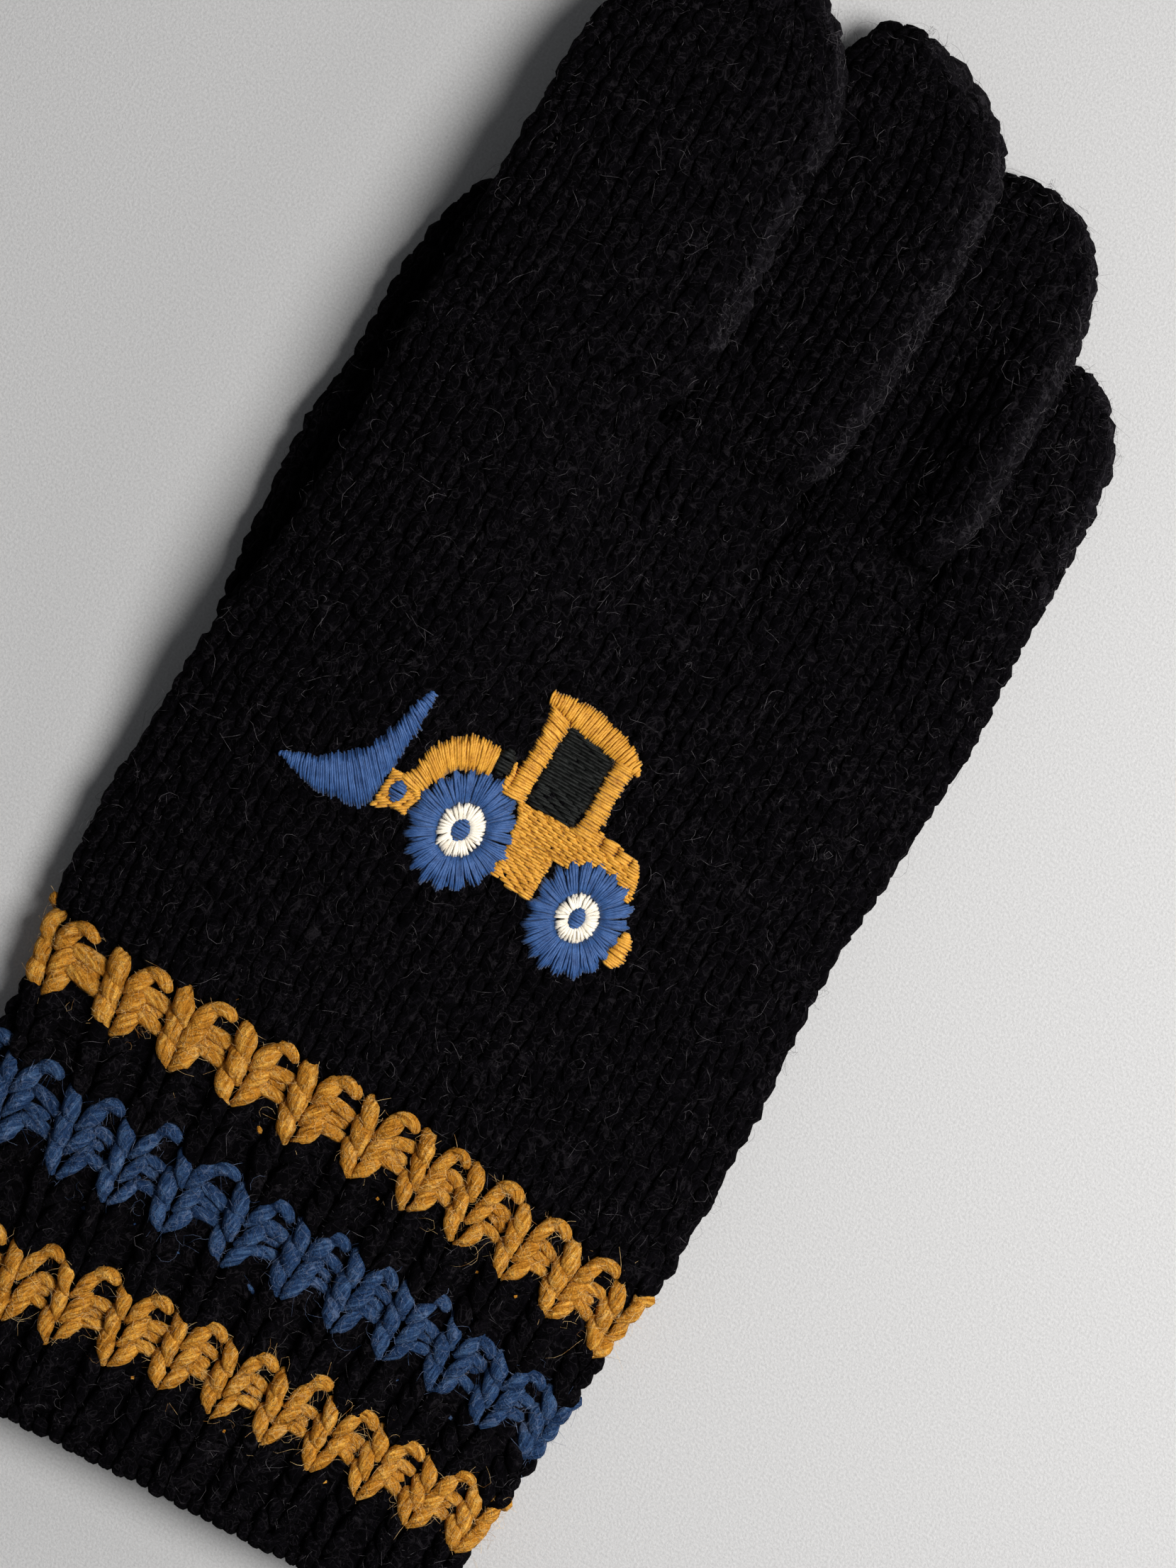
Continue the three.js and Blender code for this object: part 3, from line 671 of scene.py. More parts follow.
def bow(x, y):
    """Rows bow towards the mouth at both sides of the hand."""
    right = -4.1 * np.clip((x - 9) / 29, 0, 1) ** 1.7 * np.clip((y - 2) / 41, 0, 1) * smooth((84 - y) / 34)
    left = -2.5 * np.clip((2 - x) / 24, 0, 1.25) ** 1.6 * smooth((38 - y) / 26) * smooth(y / 6 + 0.35)
    return right + left + 0.045 * x * np.clip(1 - y / 22, 0, 1)


def root_heights():
    """How far the hand's back must rise or sink towards its end to meet the fingers, against x."""
    x = np.arange(-37.0, 38.6, 0.25)
    top = np.full(len(x), np.nan)
    for rows in (little_rows, ring_rows, middle_rows, index_rows):
        row = row_at(rows, 127.2)
        inside = (x > row["left"] + 0.4) & (x < row["right"] - 0.4)
        top[inside] = (middle(row, x) + half_thick(row, x))[inside]
    gap = np.isnan(top)
    top = np.interp(x, x[~gap], top[~gap]) - 0.9 * gap * (np.abs(x) < 33)
    row = row_at(HAND, np.full_like(x, 126.0))
    change = np.clip(top - middle(row, x) - half_thick(row, x), -3.0, 1.6)
    weight = np.exp(-0.5 * (np.arange(-12, 13) * 0.25 / 0.9) ** 2)
    change = np.convolve(np.pad(change, 12, mode="edge"), weight / weight.sum(), mode="valid")
    return x, change * smooth((37.2 - np.abs(x)) / 2.5)


ROOT_X, ROOT_Z = root_heights()


def root_change(x, y):
    return np.interp(x, ROOT_X, ROOT_Z) * smooth((y - 108) / 17)


def hand_shape(p, n):
    """How the hand's rows move: they bow with the cuff, and meet the fingers' roots."""
    x, y = p[..., 0], p[..., 1]
    return bow(x, y), root_change(x, y) * smooth(n[..., 2] * 1.6)


# the hand: the back, and the palm with room for the thumb
hand_places = plain_rows(hand, 0.0, hand.length + 0.2)
centre, outward = hand.at(hand_places[:, 0], hand_places[:, 1] + 1.3, -0.6)
clear = ~in_tube(centre, THUMB, 0.6)
top = outward[:, 2] > -0.25
hand_back, hand_palm = Yarn(), Yarn()
v_stitches(hand_back, hand, hand_places[clear & top], 6, 5, shape=hand_shape)
v_stitches(hand_palm, hand, hand_places[clear & ~top], 5, 4, shape=hand_shape)

thumb_places = plain_rows(thumb, 0.0, thumb.length - 0.4)
centre, outward = thumb.at(thumb_places[:, 0], thumb_places[:, 1] + 1.3, -0.6)
thumb_yarn = Yarn()
v_stitches(thumb_yarn, thumb, thumb_places[~in_tube(centre, HAND, 0.7)], 5, 4)

hand_back_lines, hand_palm_lines = hand_back.lines, hand_palm.lines
finger_yarn, painted_rim_light_yarn, painted_shade_yarn = {}, {}, {}
for name, tube in fingers.items():
    finger_yarn[name] = Yarn()
    places = plain_rows(tube, -COURSE, tube.length - 0.5)
    _, outward = tube.at(places[:, 0], places[:, 1] + 1.3)
    beneath = outward[:, 2] < -0.3
    # painted light: stitches along each finger's right edge take a lighter copy of the black wool with more sheen, as
    # painted rim light, and those on the flank beside its neighbour take a darker copy, as painted shade
    away = smooth((places[:, 1] - 2) / 7)
    right = (outward[:, 0] > 0) & (outward[:, 2] > -0.4) & (rng.random(len(places)) < away * smooth((0.75 - outward[:, 2]) / 0.16))
    left = (outward[:, 0] < 0) & ~beneath & (rng.random(len(places)) < away * smooth((0.88 - outward[:, 2]) / 0.22))
    if name == "index_finger":
        left[:] = False
    painted_rim_light_yarn[name], painted_shade_yarn[name] = Yarn(), Yarn()
    v_stitches(painted_rim_light_yarn[name], tube, places[right], 5, 5)
    v_stitches(painted_shade_yarn[name], tube, places[left], 5, 5)
    v_stitches(finger_yarn[name], tube, places[~beneath & ~right & ~left], 5, 5)
    v_stitches(finger_yarn[name], tube, places[beneath & ~right], 4, 4)

# ---------------------------------------------------------------- ribbing
# Middles of the knit columns that show on the cuff's back, at the three stripes; those beneath are evenly spaced.
SEEN = columns(
    ["upper", "blue", "lower"],
    [
        [37.5, 36.8, 34.8],
        [30.6, 30.2, 28.8],
        [24.0, 23.8, 22.4],
        [17.6, 17.2, 16.4],
        [11.3, 10.9, 10.5],
        [4.1, 4.3, 4.3],
        [-3.5, -3.1, -1.9],
        [-11.0, -10.6, -8.0],
        [-19.1, -17.3, -14.6],
        [-26.8, -23.8, -20.6],
        [-36.0, -31.6, -27.4],
    ],
)
RIBS = 23
LEVELS = {"lower": 12.5, "blue": 27.5, "upper": 43.0}
at_level = []
for level, y in LEVELS.items():
    outline = rings(HAND, [y], 720)[0]
    share = np.array([np.argmin(np.abs(outline[:360, 0] - x)) / 720 for x in SEEN[level]])
    rest = RIBS - len(share)
    at_level.append(np.concatenate([share, share[-1] + (1 + share[0] - share[-1]) / (rest + 1) * np.arange(1, rest + 1)]))
at_level = np.array(at_level)


def ribs_at(m):
    """The shares round the cuff of its knit columns, a length m from its mouth, and those of each one's neighbours."""
    here = np.array([np.interp(m, list(LEVELS.values()), at_level[:, c]) for c in range(RIBS)])
    left, right = np.roll(here, -1), np.roll(here, 1)
    left[-1] += 1
    right[0] -= 1
    return here, left, right


def droop(s, m):
    p, _ = cuff.at(s, m)
    return bow(p[..., 0], p[..., 1])


def valley(k):
    """Where the bottom of row k's V lies."""
    return k * COURSE - 2.15 + 0.55 * np.clip((k - 8) / 9, 0, 1)


def rib_strand(yarn, s0, m0, x, v, d, wide, high, sides, twist=0.35, ply=0.0):
    g = cuff.girth(m0)
    m = m0 + v
    s = s0 - x / g
    p, n = cuff.at(s, np.maximum(m + droop(s, m), 0.4), d)
    yarn.strands(p, n, wide, high, sides, twist, ply)


def rib_row(yarn, k, sides, rings_, coloured, fat=1.03, first=False, last=False):
    """One row: the two legs of every knit stitch, and what shows of the purl stitches between them."""
    t = np.linspace(0, 1, rings_)[None]
    here, left, right = ribs_at(valley(k) + 1.7)
    c = RIBS
    m0 = np.full((c, 1), valley(k))
    g = cuff.girth(m0)
    narrow = np.clip((left - right)[:, None] / 2 * g / 7.2, 0.8, 1.12)
    ply = 0.07 if coloured else 0.0
    for side in (-1, 1):
        jit = rng.normal(0, 1, (c, 6))
        wide = 1.72 if side < 0 else 1.56
        x = side * (0.3 + wide * t**0.86 * narrow) + jit[:, :1] * 0.1 + jit[:, 1:2] * 0.12 * np.sin(math.pi * t)
        v = (3.7 + 0.1 * jit[:, 5:6]) * t + jit[:, 2:3] * 0.16
        fall = 0.3 if last and side == 1 else 0.72
        d = -0.5 + 0.54 * np.sin(math.pi * np.clip(t * 1.12, 0, 1)) - fall * t**2 + jit[:, 3:4] * 0.09
        r = fat * narrow * (1 + jit[:, 4:5] * 0.05) * (0.42 + 0.58 * smooth(t / 0.45)) * (1 - 0.3 * np.clip(2 * t - 1, 0, 1) ** 2.6)
        r = r * (1.03 if side < 0 else 0.97) * (1 + rng.normal(0, 0.035, r.shape))
        rib_strand(yarn, here[:, None], m0, x, v, d, r, r * 0.9, sides, 0.5, ply)
    # the purl stitch to the right of each column
    gap = (here - right)[:, None] * g
    jit = rng.normal(0, 1, (c, 5))
    few = max(6, rings_ - 2)
    tf = np.linspace(0, 1, few)[None]
    if last:
        # the row's last purl heads stand up between the columns and end in a rounded hook
        hook = np.array([[1.45, 2.9, -0.8], [1.85, 3.45, -0.3], [2.45, 3.8, 0.0], [3.1, 3.78, 0.02], [3.7, 3.45, -0.2], [4.1, 3.05, -0.65]])
        tt = np.linspace(0, 5, rings_ + 1)
        shape = np.stack([np.interp(tt, np.arange(6), hook[:, a]) for a in range(3)], -1)[None]
        x = shape[..., 0] * np.clip(gap / 7.2, 0.82, 1.1) * (1 + 0.05 * jit[:, 3:4]) + jit[:, :1] * 0.1
        v = shape[..., 1] + jit[:, 1:2] * 0.2 + (jit[:, 2:3] * 0.2 + 0.05) * (shape[..., 0] - 1.5)
        d = shape[..., 2] + jit[:, 3:4] * 0.08
        r = 0.8 * (1 - 0.38 * np.clip(2 * np.linspace(0, 1, rings_ + 1)[None] - 1, 0, 1) ** 3) * (1 + jit[:, 4:5] * 0.07)
        rib_strand(yarn, here[:, None], m0, x, v, d, r, r * 0.92, sides - 2, 0.5, ply)
    # each lower purl head leaves the right leg's top and dips beneath the next column, with a sunk one under it
    if not coloured:
        heads = ((3.0, -0.5, 0.62),)
    elif last:
        heads = ()
    elif first:
        heads = ((3.3, 0.0, 0.78),)
    else:
        heads = ((3.3, 0.0, 0.78), (2.05, -0.6, 0.7))
    for lift, lower, thick in heads:
        jit = rng.normal(0, 1, (c, 5))
        x = 1.5 + (gap - 3.6) * tf + jit[:, :1] * 0.15
        v = lift + 0.3 * np.sin(math.pi * tf) - 0.35 * tf + jit[:, 1:2] * 0.14 + jit[:, 2:3] * 0.2 * (2 * tf - 1)
        d = -0.75 + lower + 0.3 * np.sin(math.pi * tf) - 1.15 * tf**1.5 + jit[:, 3:4] * 0.1
        r = thick * np.clip((gap / 7.2) ** 1.4, 0.92, 1.35) * (1 + 0.07 * jit[:, 4:5]) * (1 - 0.3 * np.abs(2 * tf - 1) ** 3)
        rib_strand(yarn, here[:, None], m0, x, v, d, r, r * 0.9, sides - 2, 0.5, ply)


def specks(yarn, k):
    """Bits of the stripe's yarn that show between the columns beneath it."""
    here, left, right = ribs_at(valley(k))
    mid = (here + right) / 2
    for dx in (-1.1, 0.1, 1.2):
        keep = rng.random(RIBS) < 0.4
        c = int(keep.sum())
        jit = rng.normal(0, 1, (c, 4))
        t = np.linspace(0, 1, 6)[None]
        long = 0.7 + 0.6 * rng.random((c, 1))
        x = dx + jit[:, :1] * 0.35 + (t - 0.5) * long
        v = -0.85 + jit[:, 1:2] * 0.35 + (t - 0.5) * 0.5 * jit[:, 2:3]
        d = -1.72 + jit[:, 3:4] * 0.12 + 0.2 * np.sin(math.pi * t)
        r = (0.2 + 0.12 * rng.random((c, 1))) * (1 - 0.6 * np.abs(2 * t - 1) ** 2) * (1 + rng.normal(0, 0.14, (c, 6)))
        rib_strand(yarn, mid[keep][:, None], np.full((c, 1), valley(k)), x, v, d, r * 1.05, r * 0.7, 6)


CUFF = {
    "cuff_welt": (1, 5, BLACK, "black_wool"),
    "lower_yellow_stripe": (5, 8, YELLOW, "yellow_wool"),
    "lower_black_rib": (8, 11, BLACK, "black_wool"),
    "blue_stripe": (11, 14, BLUE, "blue_wool"),
    "upper_black_rib": (14, 17, BLACK, "black_wool"),
    "upper_yellow_stripe": (17, 20, YELLOW, "yellow_wool"),
}
rib_pieces, rib_lines = [], {}
for name, (first, last, material, slot) in CUFF.items():
    yarn = Yarn()
    black = slot == "black_wool"
    for k in range(first, last):
        rib_row(yarn, k, 6 if black else 9, 7 if black else 9, not black, first=k == first, last=not black and k == last - 1)
    rib_lines[name] = list(yarn.lines)
    if not black:
        specks(yarn, first)
    if first == 1:
        # the cast-on edge turns over the mouth's rim
        for half, tall in ((0.0, 0.0), (0.5, -0.35)):
            here, left, _ = ribs_at(1.0)
            mids = np.concatenate([(here + (left - here) * (half + q))[:, None] for q in (-0.13, 0.13)])
            c = len(mids)
            a = np.linspace(-0.65 * math.pi, 0.62 * math.pi, 8)[None] + 0 * mids
            x = rng.normal(0, 0.12, (c, 1)) + 0.35 * np.sin(a)
            at_m = 1.15 - 0.75 * np.cos(a) + rng.normal(0, 0.1, (c, 1))
            p, n = cuff.at(mids - x / 160, at_m + droop(mids, at_m), -1.15 + tall - 0.85 * np.sin(a))
            yarn.strands(p, n, 0.86 + rng.normal(0, 0.05, (c, 1)), 0.8, 7)
    rib_pieces.append(wear(yarn.make(name + "_stitches", material), slot, name))


# ---------------------------------------------------------------- embroidery
def back_of_hand(x, y):
    row = row_at(HAND, y)
    return middle(row, x) + half_thick(row, x)


def lay(yarn, a, b, lift=0.42, puff=0.3, radius=0.155, rings_=7, sides=5, rough=0.05):
    """Satin threads from points a to points b, which stand up in the middle and go down into the cloth at their ends."""
    a, b = np.asarray(a, float), np.asarray(b, float)
    k = len(a)
    t = np.linspace(0, 1, rings_)[None, :, None]
    xy = a[:, None] * (1 - t) + b[:, None] * t
    across = np.stack([-(b - a)[:, 1], (b - a)[:, 0]], -1)
    across = unit(across)[:, None]
    xy = xy + across * (rng.normal(0, rough, (k, 1, 1)) * np.sin(math.pi * t) + rng.normal(0, rough * 0.4, (k, rings_, 1)))
    long = np.linalg.norm(b - a, axis=1)[:, None]
    tt = t[..., 0]
    z = back_of_hand(xy[..., 0], xy[..., 1]) + lift + puff * np.minimum(1, long / 3) * np.sin(math.pi * tt) ** 0.55 + rng.normal(0, 0.03, (k, 1))
    z = z - 0.5 * (np.abs(2 * tt - 1) ** 8)
    p = np.concatenate([xy, z[..., None]], -1)
    n = np.zeros_like(p)
    n[..., 2] = 1
    r = radius * (1 + rng.normal(0, 0.06, (k, 1))) * (1 - 0.25 * np.abs(2 * tt - 1) ** 4)
    yarn.strands(p, n, r * 1.08, r * 0.9, sides, twist=0.9)


def along(points, count):
    """count points evenly spaced on a line of points."""
    points = np.asarray(points, float)
    at = np.concatenate([[0], np.cumsum(np.linalg.norm(np.diff(points, axis=0), axis=1))])
    want = np.linspace(0, at[-1], count)
    return np.stack([np.interp(want, at, points[:, k]) for k in range(2)], -1)


PITCH = 0.3


def satin(yarn, edge_a, edge_b, pitch=PITCH, uneven=0.12, **more):
    """Threads between two edges of a shape, in two layers."""
    longest = max(np.linalg.norm(np.diff(np.asarray(e, float), axis=0), axis=1).sum() for e in (edge_a, edge_b))
    count = max(3, round(longest / pitch))
    a, b = along(edge_a, count), along(edge_b, count)
    lay(yarn, a, b, 0.22, 0.25, 0.2, 5, 4, 0.03)
    way = unit(b - a)
    a = a - way * rng.normal(0.05, uneven, (count, 1))
    b = b + way * rng.normal(0.05, uneven, (count, 1))
    lay(yarn, a, b, **more)


def inside_spans(outline, y):
    """Where a level line crosses an outline."""
    p = np.asarray(outline, float)
    q = np.roll(p, -1, axis=0)
    hit = (p[:, 1] <= y) != (q[:, 1] <= y)
    x = np.sort(p[hit, 0] + (y - p[hit, 1]) / (q[hit, 1] - p[hit, 1]) * (q[hit, 0] - p[hit, 0]))
    return [(x[i], x[i + 1]) for i in range(0, len(x) - 1, 2)]


def fill(yarn, outline, holes=(), angle=0.0, pitch=PITCH, step=2.3, uneven=0.1, lift=0.42, **more):
    """Rows of short stitches, each row's ends staggered against the last."""
    c, s = math.cos(-angle), math.sin(-angle)
    turn = np.array([[c, -s], [s, c]])
    flat = np.asarray(outline, float) @ turn.T
    cut = [np.asarray(h, float) @ turn.T for h in holes]
    for layer, (pp, rr, ll) in enumerate(((pitch * 1.1, 0.21, lift - 0.2), (pitch, 0.155, lift))):
        a, b = [], []
        y, row = flat[:, 1].min() + pp / 2, 0
        while y < flat[:, 1].max():
            spans = inside_spans(flat, y)
            for h in cut:
                new = []
                for lo, hi in spans:
                    pieces_ = [(lo, hi)]
                    for hl, hh in inside_spans(h, y):
                        pieces_ = [z for l, r in pieces_ for z in ((l, min(r, hl)), (max(l, hh), r)) if z[1] - z[0] > 0.25]
                    new += pieces_
                spans = new
            for lo, hi in spans:
                lo, hi = lo - abs(rng.normal(0, uneven)), hi + abs(rng.normal(0, uneven))
                x = lo
                cutting = lo - (row * 0.37 % 1) * step
                marks = [m for m in np.arange(cutting, hi, step) if lo + 0.5 < m < hi - 0.5]
                for m in [*marks, hi]:
                    a.append((x, y))
                    b.append((m, y))
                    x = m
            y, row = y + pp, row + 1
        a, b = np.array(a) @ turn, np.array(b) @ turn
        lay(yarn, a, b, ll, 0.13, rr, 6 if layer else 4, 5 if layer else 4, 0.02, **more)


def ovals(c, rx, ry, angles):
    return np.stack([c[0] + rx * np.cos(angles), c[1] + ry * np.sin(angles)], -1)


patches = {}


def patch(name, material, slot):
    patches[name] = (Yarn(), material, slot)
    return patches[name][0]


BUCKET_OUT = [(-14.35, 89.45), (-14.85, 88.8), (-15.3, 87.2), (-15.8, 84.9), (-16.6, 82.7), (-17.4, 81.1), (-18.8, 79.5), (-20.1, 78.7), (-21.5, 77.4), (-23.3, 76.8), (-25.2, 75.9)]
BUCKET_IN = [(-14.15, 89.45), (-13.75, 88.9), (-13.6, 86.6), (-13.65, 85.2), (-13.8, 82.2), (-13.95, 79.7), (-14.1, 77.2), (-14.3, 75.8), (-15.1, 74.75), (-17.0, 74.35), (-20.0, 74.1), (-23.3, 74.8), (-25.2, 75.6)]
satin(patch("bucket", BLUE_THREAD, "blue_thread"), BUCKET_OUT, BUCKET_IN, uneven=0.16)

WHEELS = {"front": ((-4.4, 78.3), (5.75, 6.75), (2.5, 3.1), (1.15, 1.25)), "rear": ((11.2, 76.4), (5.35, 6.6), (2.35, 2.75), (1.0, 1.2))}
for which, (c, tyre, rim, hub) in WHEELS.items():
    yarn = patch(which + "_tyre", BLUE_THREAD, "blue_thread")
    for lift, count, r in ((0.2, 96, 0.22), (0.5, 152, 0.14)):
        a = np.linspace(0, 2 * math.pi, count, endpoint=False) + rng.normal(0, 0.012, count)
        # a scalloped edge: the threads of each scallop lean to its tip
        turn = a * 9.5 + c[0] + 0.5 * np.sin(3 * a)
        reach = 0.915 + 0.135 * np.abs(np.sin(turn)) ** 0.8 + 0.02 * np.sin(a * 4 + c[0]) + rng.normal(0, 0.02, count)
        lean = -0.035 * np.sin(2 * turn)
        outer = ovals(c, 1, 1, a - lean) - c
        outer = c + outer * np.array(tyre) * reach[:, None]
        inner = ovals(c, rim[0] * 0.93, rim[1] * 0.93, a + rng.normal(0, 0.02, count))
        lay(yarn, inner, outer, lift, 0.28, r)
    yarn = patch(which + "_rim", WHITE_THREAD, "white_thread")
    for lift, count, r in ((0.45, 36, 0.2), (0.72, 46, 0.165)):
        a = np.linspace(0, 2 * math.pi, count, endpoint=False)
        lay(yarn, ovals(c, hub[0] * 0.72, hub[1] * 0.72, a), ovals(c, rim[0], rim[1], a + 0.05) + rng.normal(0, 0.11, (count, 2)), lift, 0.2, r, 6)
    yarn = patch(which + "_hub", BLUE_THREAD, "blue_thread")
    yy = np.linspace(-0.92, 0.92, 8)
    half = hub[0] * np.sqrt(1 - yy**2)
    lay(yarn, np.stack([c[0] - half, c[1] + hub[1] * yy], -1), np.stack([c[0] + half, c[1] + hub[1] * yy], -1), 0.85, 0.16, 0.17, 6)

ARCH = np.array([[169, 6.2, 8.7], [162, 6.2, 8.35], [152, 6.2, 8.5], [142, 6.4, 9.05], [132, 6.8, 9.65], [122, 6.8, 10.0], [111, 6.8, 10.15], [104, 6.8, 10.2], [94, 6.8, 9.9]])
front = np.array(WHEELS["front"][0])


def polar(angle, r):
    a = np.radians(angle)
    return front + np.stack([r * np.cos(a), r * np.sin(a)], -1)


satin(patch("bonnet", GOLD_THREAD, "yellow_thread"), polar(ARCH[:, 0], ARCH[:, 1] - 0.5), polar(ARCH[:, 0], ARCH[:, 2]), uneven=0.2)
t8 = np.linspace(-0.95, 0.95, 8)
lay(patch("exhaust", DARK_THREAD, "dark_thread"), np.stack([-3.95 - 0.95 * (1 - t8**4) ** 0.5, 87.0 + 1.4 * t8], -1), np.stack([-3.95 + 0.95 * (1 - t8**4) ** 0.5, 87.0 + 1.4 * t8], -1), 0.7, 0.15, 0.19, 6)

yarn = patch("cab_frame", GOLD_THREAD, "yellow_thread")
satin(yarn, [(-2.75, 94.8), (-2.15, 91.2), (-2.2, 88.7), (-2.3, 86.6), (-2.5, 85.2), (-2.9, 84.1)], [(0.05, 94.0), (0.0, 91.2), (0.0, 88.7), (-0.05, 86.6), (-0.05, 85.2), (0.05, 84.3)])
satin(yarn, [(8.55, 93.2), (8.4, 90.0), (8.55, 87.8), (8.6, 85.9), (8.6, 84.4)], [(6.15, 93.2), (6.15, 90.0), (6.2, 87.8), (6.2, 85.9), (5.8, 84.5)])
satin(yarn, [(-3.15, 96.3), (-1.2, 96.6), (2.2, 96.8), (5.0, 96.35), (7.4, 95.3), (8.7, 94.2), (9.15, 93.3)], [(-2.95, 94.8), (-1.0, 94.3), (0.5, 93.65), (2.9, 93.4), (5.9, 92.95), (7.5, 92.8), (9.0, 92.8)])
# the strip between the exhaust and the cab
satin(yarn, [(-2.95, 87.5), (-2.9, 86.4), (-3.1, 84.8)], [(-2.75, 87.4), (-2.3, 86.2), (-2.2, 84.6)])
WINDOW = [(0.1, 93.8), (3.9, 93.7), (6.0, 93.2), (6.05, 90.6), (6.1, 87.4), (6.05, 85.2), (5.3, 84.4), (0.2, 84.4), (-0.05, 85.2), (-0.05, 87.4), (0.0, 90.6)]
fill(patch("cab_window", DARK_THREAD, "dark_thread"), WINDOW, angle=0.0, pitch=0.34, step=3.1, uneven=0.06, lift=0.36)
CHASSIS = [(-0.6, 84.1), (5.8, 84.5), (8.6, 85.7), (10.4, 85.5), (13.6, 85.0), (14.5, 84.1), (15.0, 82.5), (15.4, 80.7), (12.0, 80.4), (5.8, 80.6), (5.8, 75.4), (0.6, 75.8), (0.4, 78.3), (0.4, 80.9), (0.2, 82.4)]
oval18 = np.linspace(0, 2 * math.pi, 24, endpoint=False)
rooms = [ovals(c, tyre[0] * 0.9, tyre[1] * 0.9, oval18) for c, tyre, _, _ in WHEELS.values()]
fill(patch("chassis", GOLD_THREAD, "yellow_thread"), CHASSIS, holes=rooms, angle=-0.03, step=1.9)
satin(patch("rear_bumper", GOLD_THREAD, "yellow_thread"), [(16.3, 77.6), (15.9, 76.0), (15.9, 73.9)], [(17.1, 77.7), (17.8, 76.9), (17.9, 74.8), (17.2, 73.7)])
LINK = [(-13.95, 80.3), (-12.2, 80.5), (-10.4, 80.5), (-9.9, 79.0), (-10.4, 77.7), (-10.4, 76.7), (-12.4, 76.6), (-13.1, 75.9), (-13.95, 75.9)]
fill(patch("boom_link", GOLD_THREAD, "yellow_thread"), LINK, holes=[ovals((-12.3, 78.5), 0.85, 0.95, oval18)], angle=0.6, step=1.6)
lay(patch("bucket_pivot", BLUE_THREAD, "blue_thread"), np.stack([-12.3 - 1.05 * np.sqrt(1 - t8**2), 78.5 + 1.15 * t8], -1), np.stack([-12.3 + 1.05 * np.sqrt(1 - t8**2), 78.5 + 1.15 * t8], -1), 0.6, 0.2, 0.17, 6)


# ---------------------------------------------------------------- loose fibres
def fuzz(yarn, tube, s, m, tall, long, thick, rings_=6, shape=None):
    """Curly fibres that lie on a piece."""
    k = len(s)
    t = np.linspace(0, 1, rings_)[None]
    turn = rng.random((k, 1)) * 2 * math.pi + rng.normal(0, 2.4, (k, 1)) * t + rng.normal(0, 1.6, (k, 1)) * t**2 + rng.normal(0, 0.9, (k, 1)) * np.sin(5 * t + rng.random((k, 1)) * 6)
    step = (long * (0.4 + 0.9 * rng.random((k, 1)))) / (rings_ - 1)
    u = np.cumsum(np.cos(turn) * step, axis=1)
    v = np.cumsum(np.sin(turn) * step, axis=1)
    up = tall * rng.random((k, 1)) ** 1.6
    d = -0.15 + up * np.sin(math.pi * np.clip(t * (0.7 + 0.5 * rng.random((k, 1))), 0, 1)) + 0.3 * rng.random((k, 1))
    ss, mm = s[:, None] + u / tube.girth(m)[:, None], np.clip(m[:, None] + v, 0.1, tube.length - 0.1)
    if shape is not None:
        p, n = tube.at(ss, mm, 0.0)
        d = d + shape(p, n)[1]
    p, n = tube.at(ss, mm, d)
    r = thick * (1 - 0.4 * np.abs(2 * t - 1) ** 2) + 0 * u
    yarn.strands(p, n, r, r, 3, 0.0)


def fray(yarn, lines, each, long, thick, out=0.5, rings_=4, rims=0.0):
    """Short fibres that stand off strands, each of them from a place on a strand's upper side. rims adds more at steep sides."""
    for p, n, wide in lines:
        k, rings_in = p.shape[:2]
        # most of them where they show, few on the underside
        up = n[:, rings_in // 2, 2]
        share = np.where(up > -0.2, 1.0, 0.2) + rims * smooth(1 - np.abs(up - 0.25) / 0.45)
        count = round(each * share.sum())
        which = rng.choice(k, count, p=share / share.sum())
        f = rng.random(count) * (rings_in - 1.001)
        i = f.astype(int)
        w = (f - i)[:, None]
        here = p[which, i] * (1 - w) + p[which, i + 1] * w
        tangent = unit(p[which, i + 1] - p[which, i])
        up = n[which, i]
        side = unit(np.cross(tangent, up))
        up = np.cross(side, tangent)
        a = (rng.random(count) * 1.3 - 0.15) * math.pi
        radial = side * np.cos(a)[:, None] + up * np.sin(a)[:, None]
        sign = np.where(rng.random(count) < 0.5, -1.0, 1.0)[:, None]
        way = unit(tangent * sign * (0.4 + 0.8 * rng.random((count, 1))) + radial * out * (0.3 + 1.2 * rng.random((count, 1))) + rng.normal(0, 0.35, (count, 3)))
        bend = rng.normal(0, 0.55, (count, 3)) - radial * 0.25
        t = np.linspace(0, 1, rings_)[None, :, None]
        size = (long * (0.35 + 1.1 * rng.random((count, 1)) ** 1.5))[:, None]
        start = here + radial * wide[which, i][:, None] * 0.85
        q = start[:, None] + size * (way[:, None] * t + bend[:, None] * t**2)
        r = thick * (1 - 0.45 * t[..., 0]) + np.zeros((count, rings_))
        yarn.strands(q, np.repeat(up[:, None], rings_, axis=1), r, r, 3, 0.0)


def scatter(tube, count, m0=0.0, m1=None, up_share=0.62):
    """Random places, more of them on the upper side."""
    m1 = tube.length if m1 is None else m1
    s = np.where(rng.random(count) < up_share, rng.random(count) * 0.54 - 0.02, rng.random(count))
    return s, m0 + (m1 - m0) * rng.random(count)


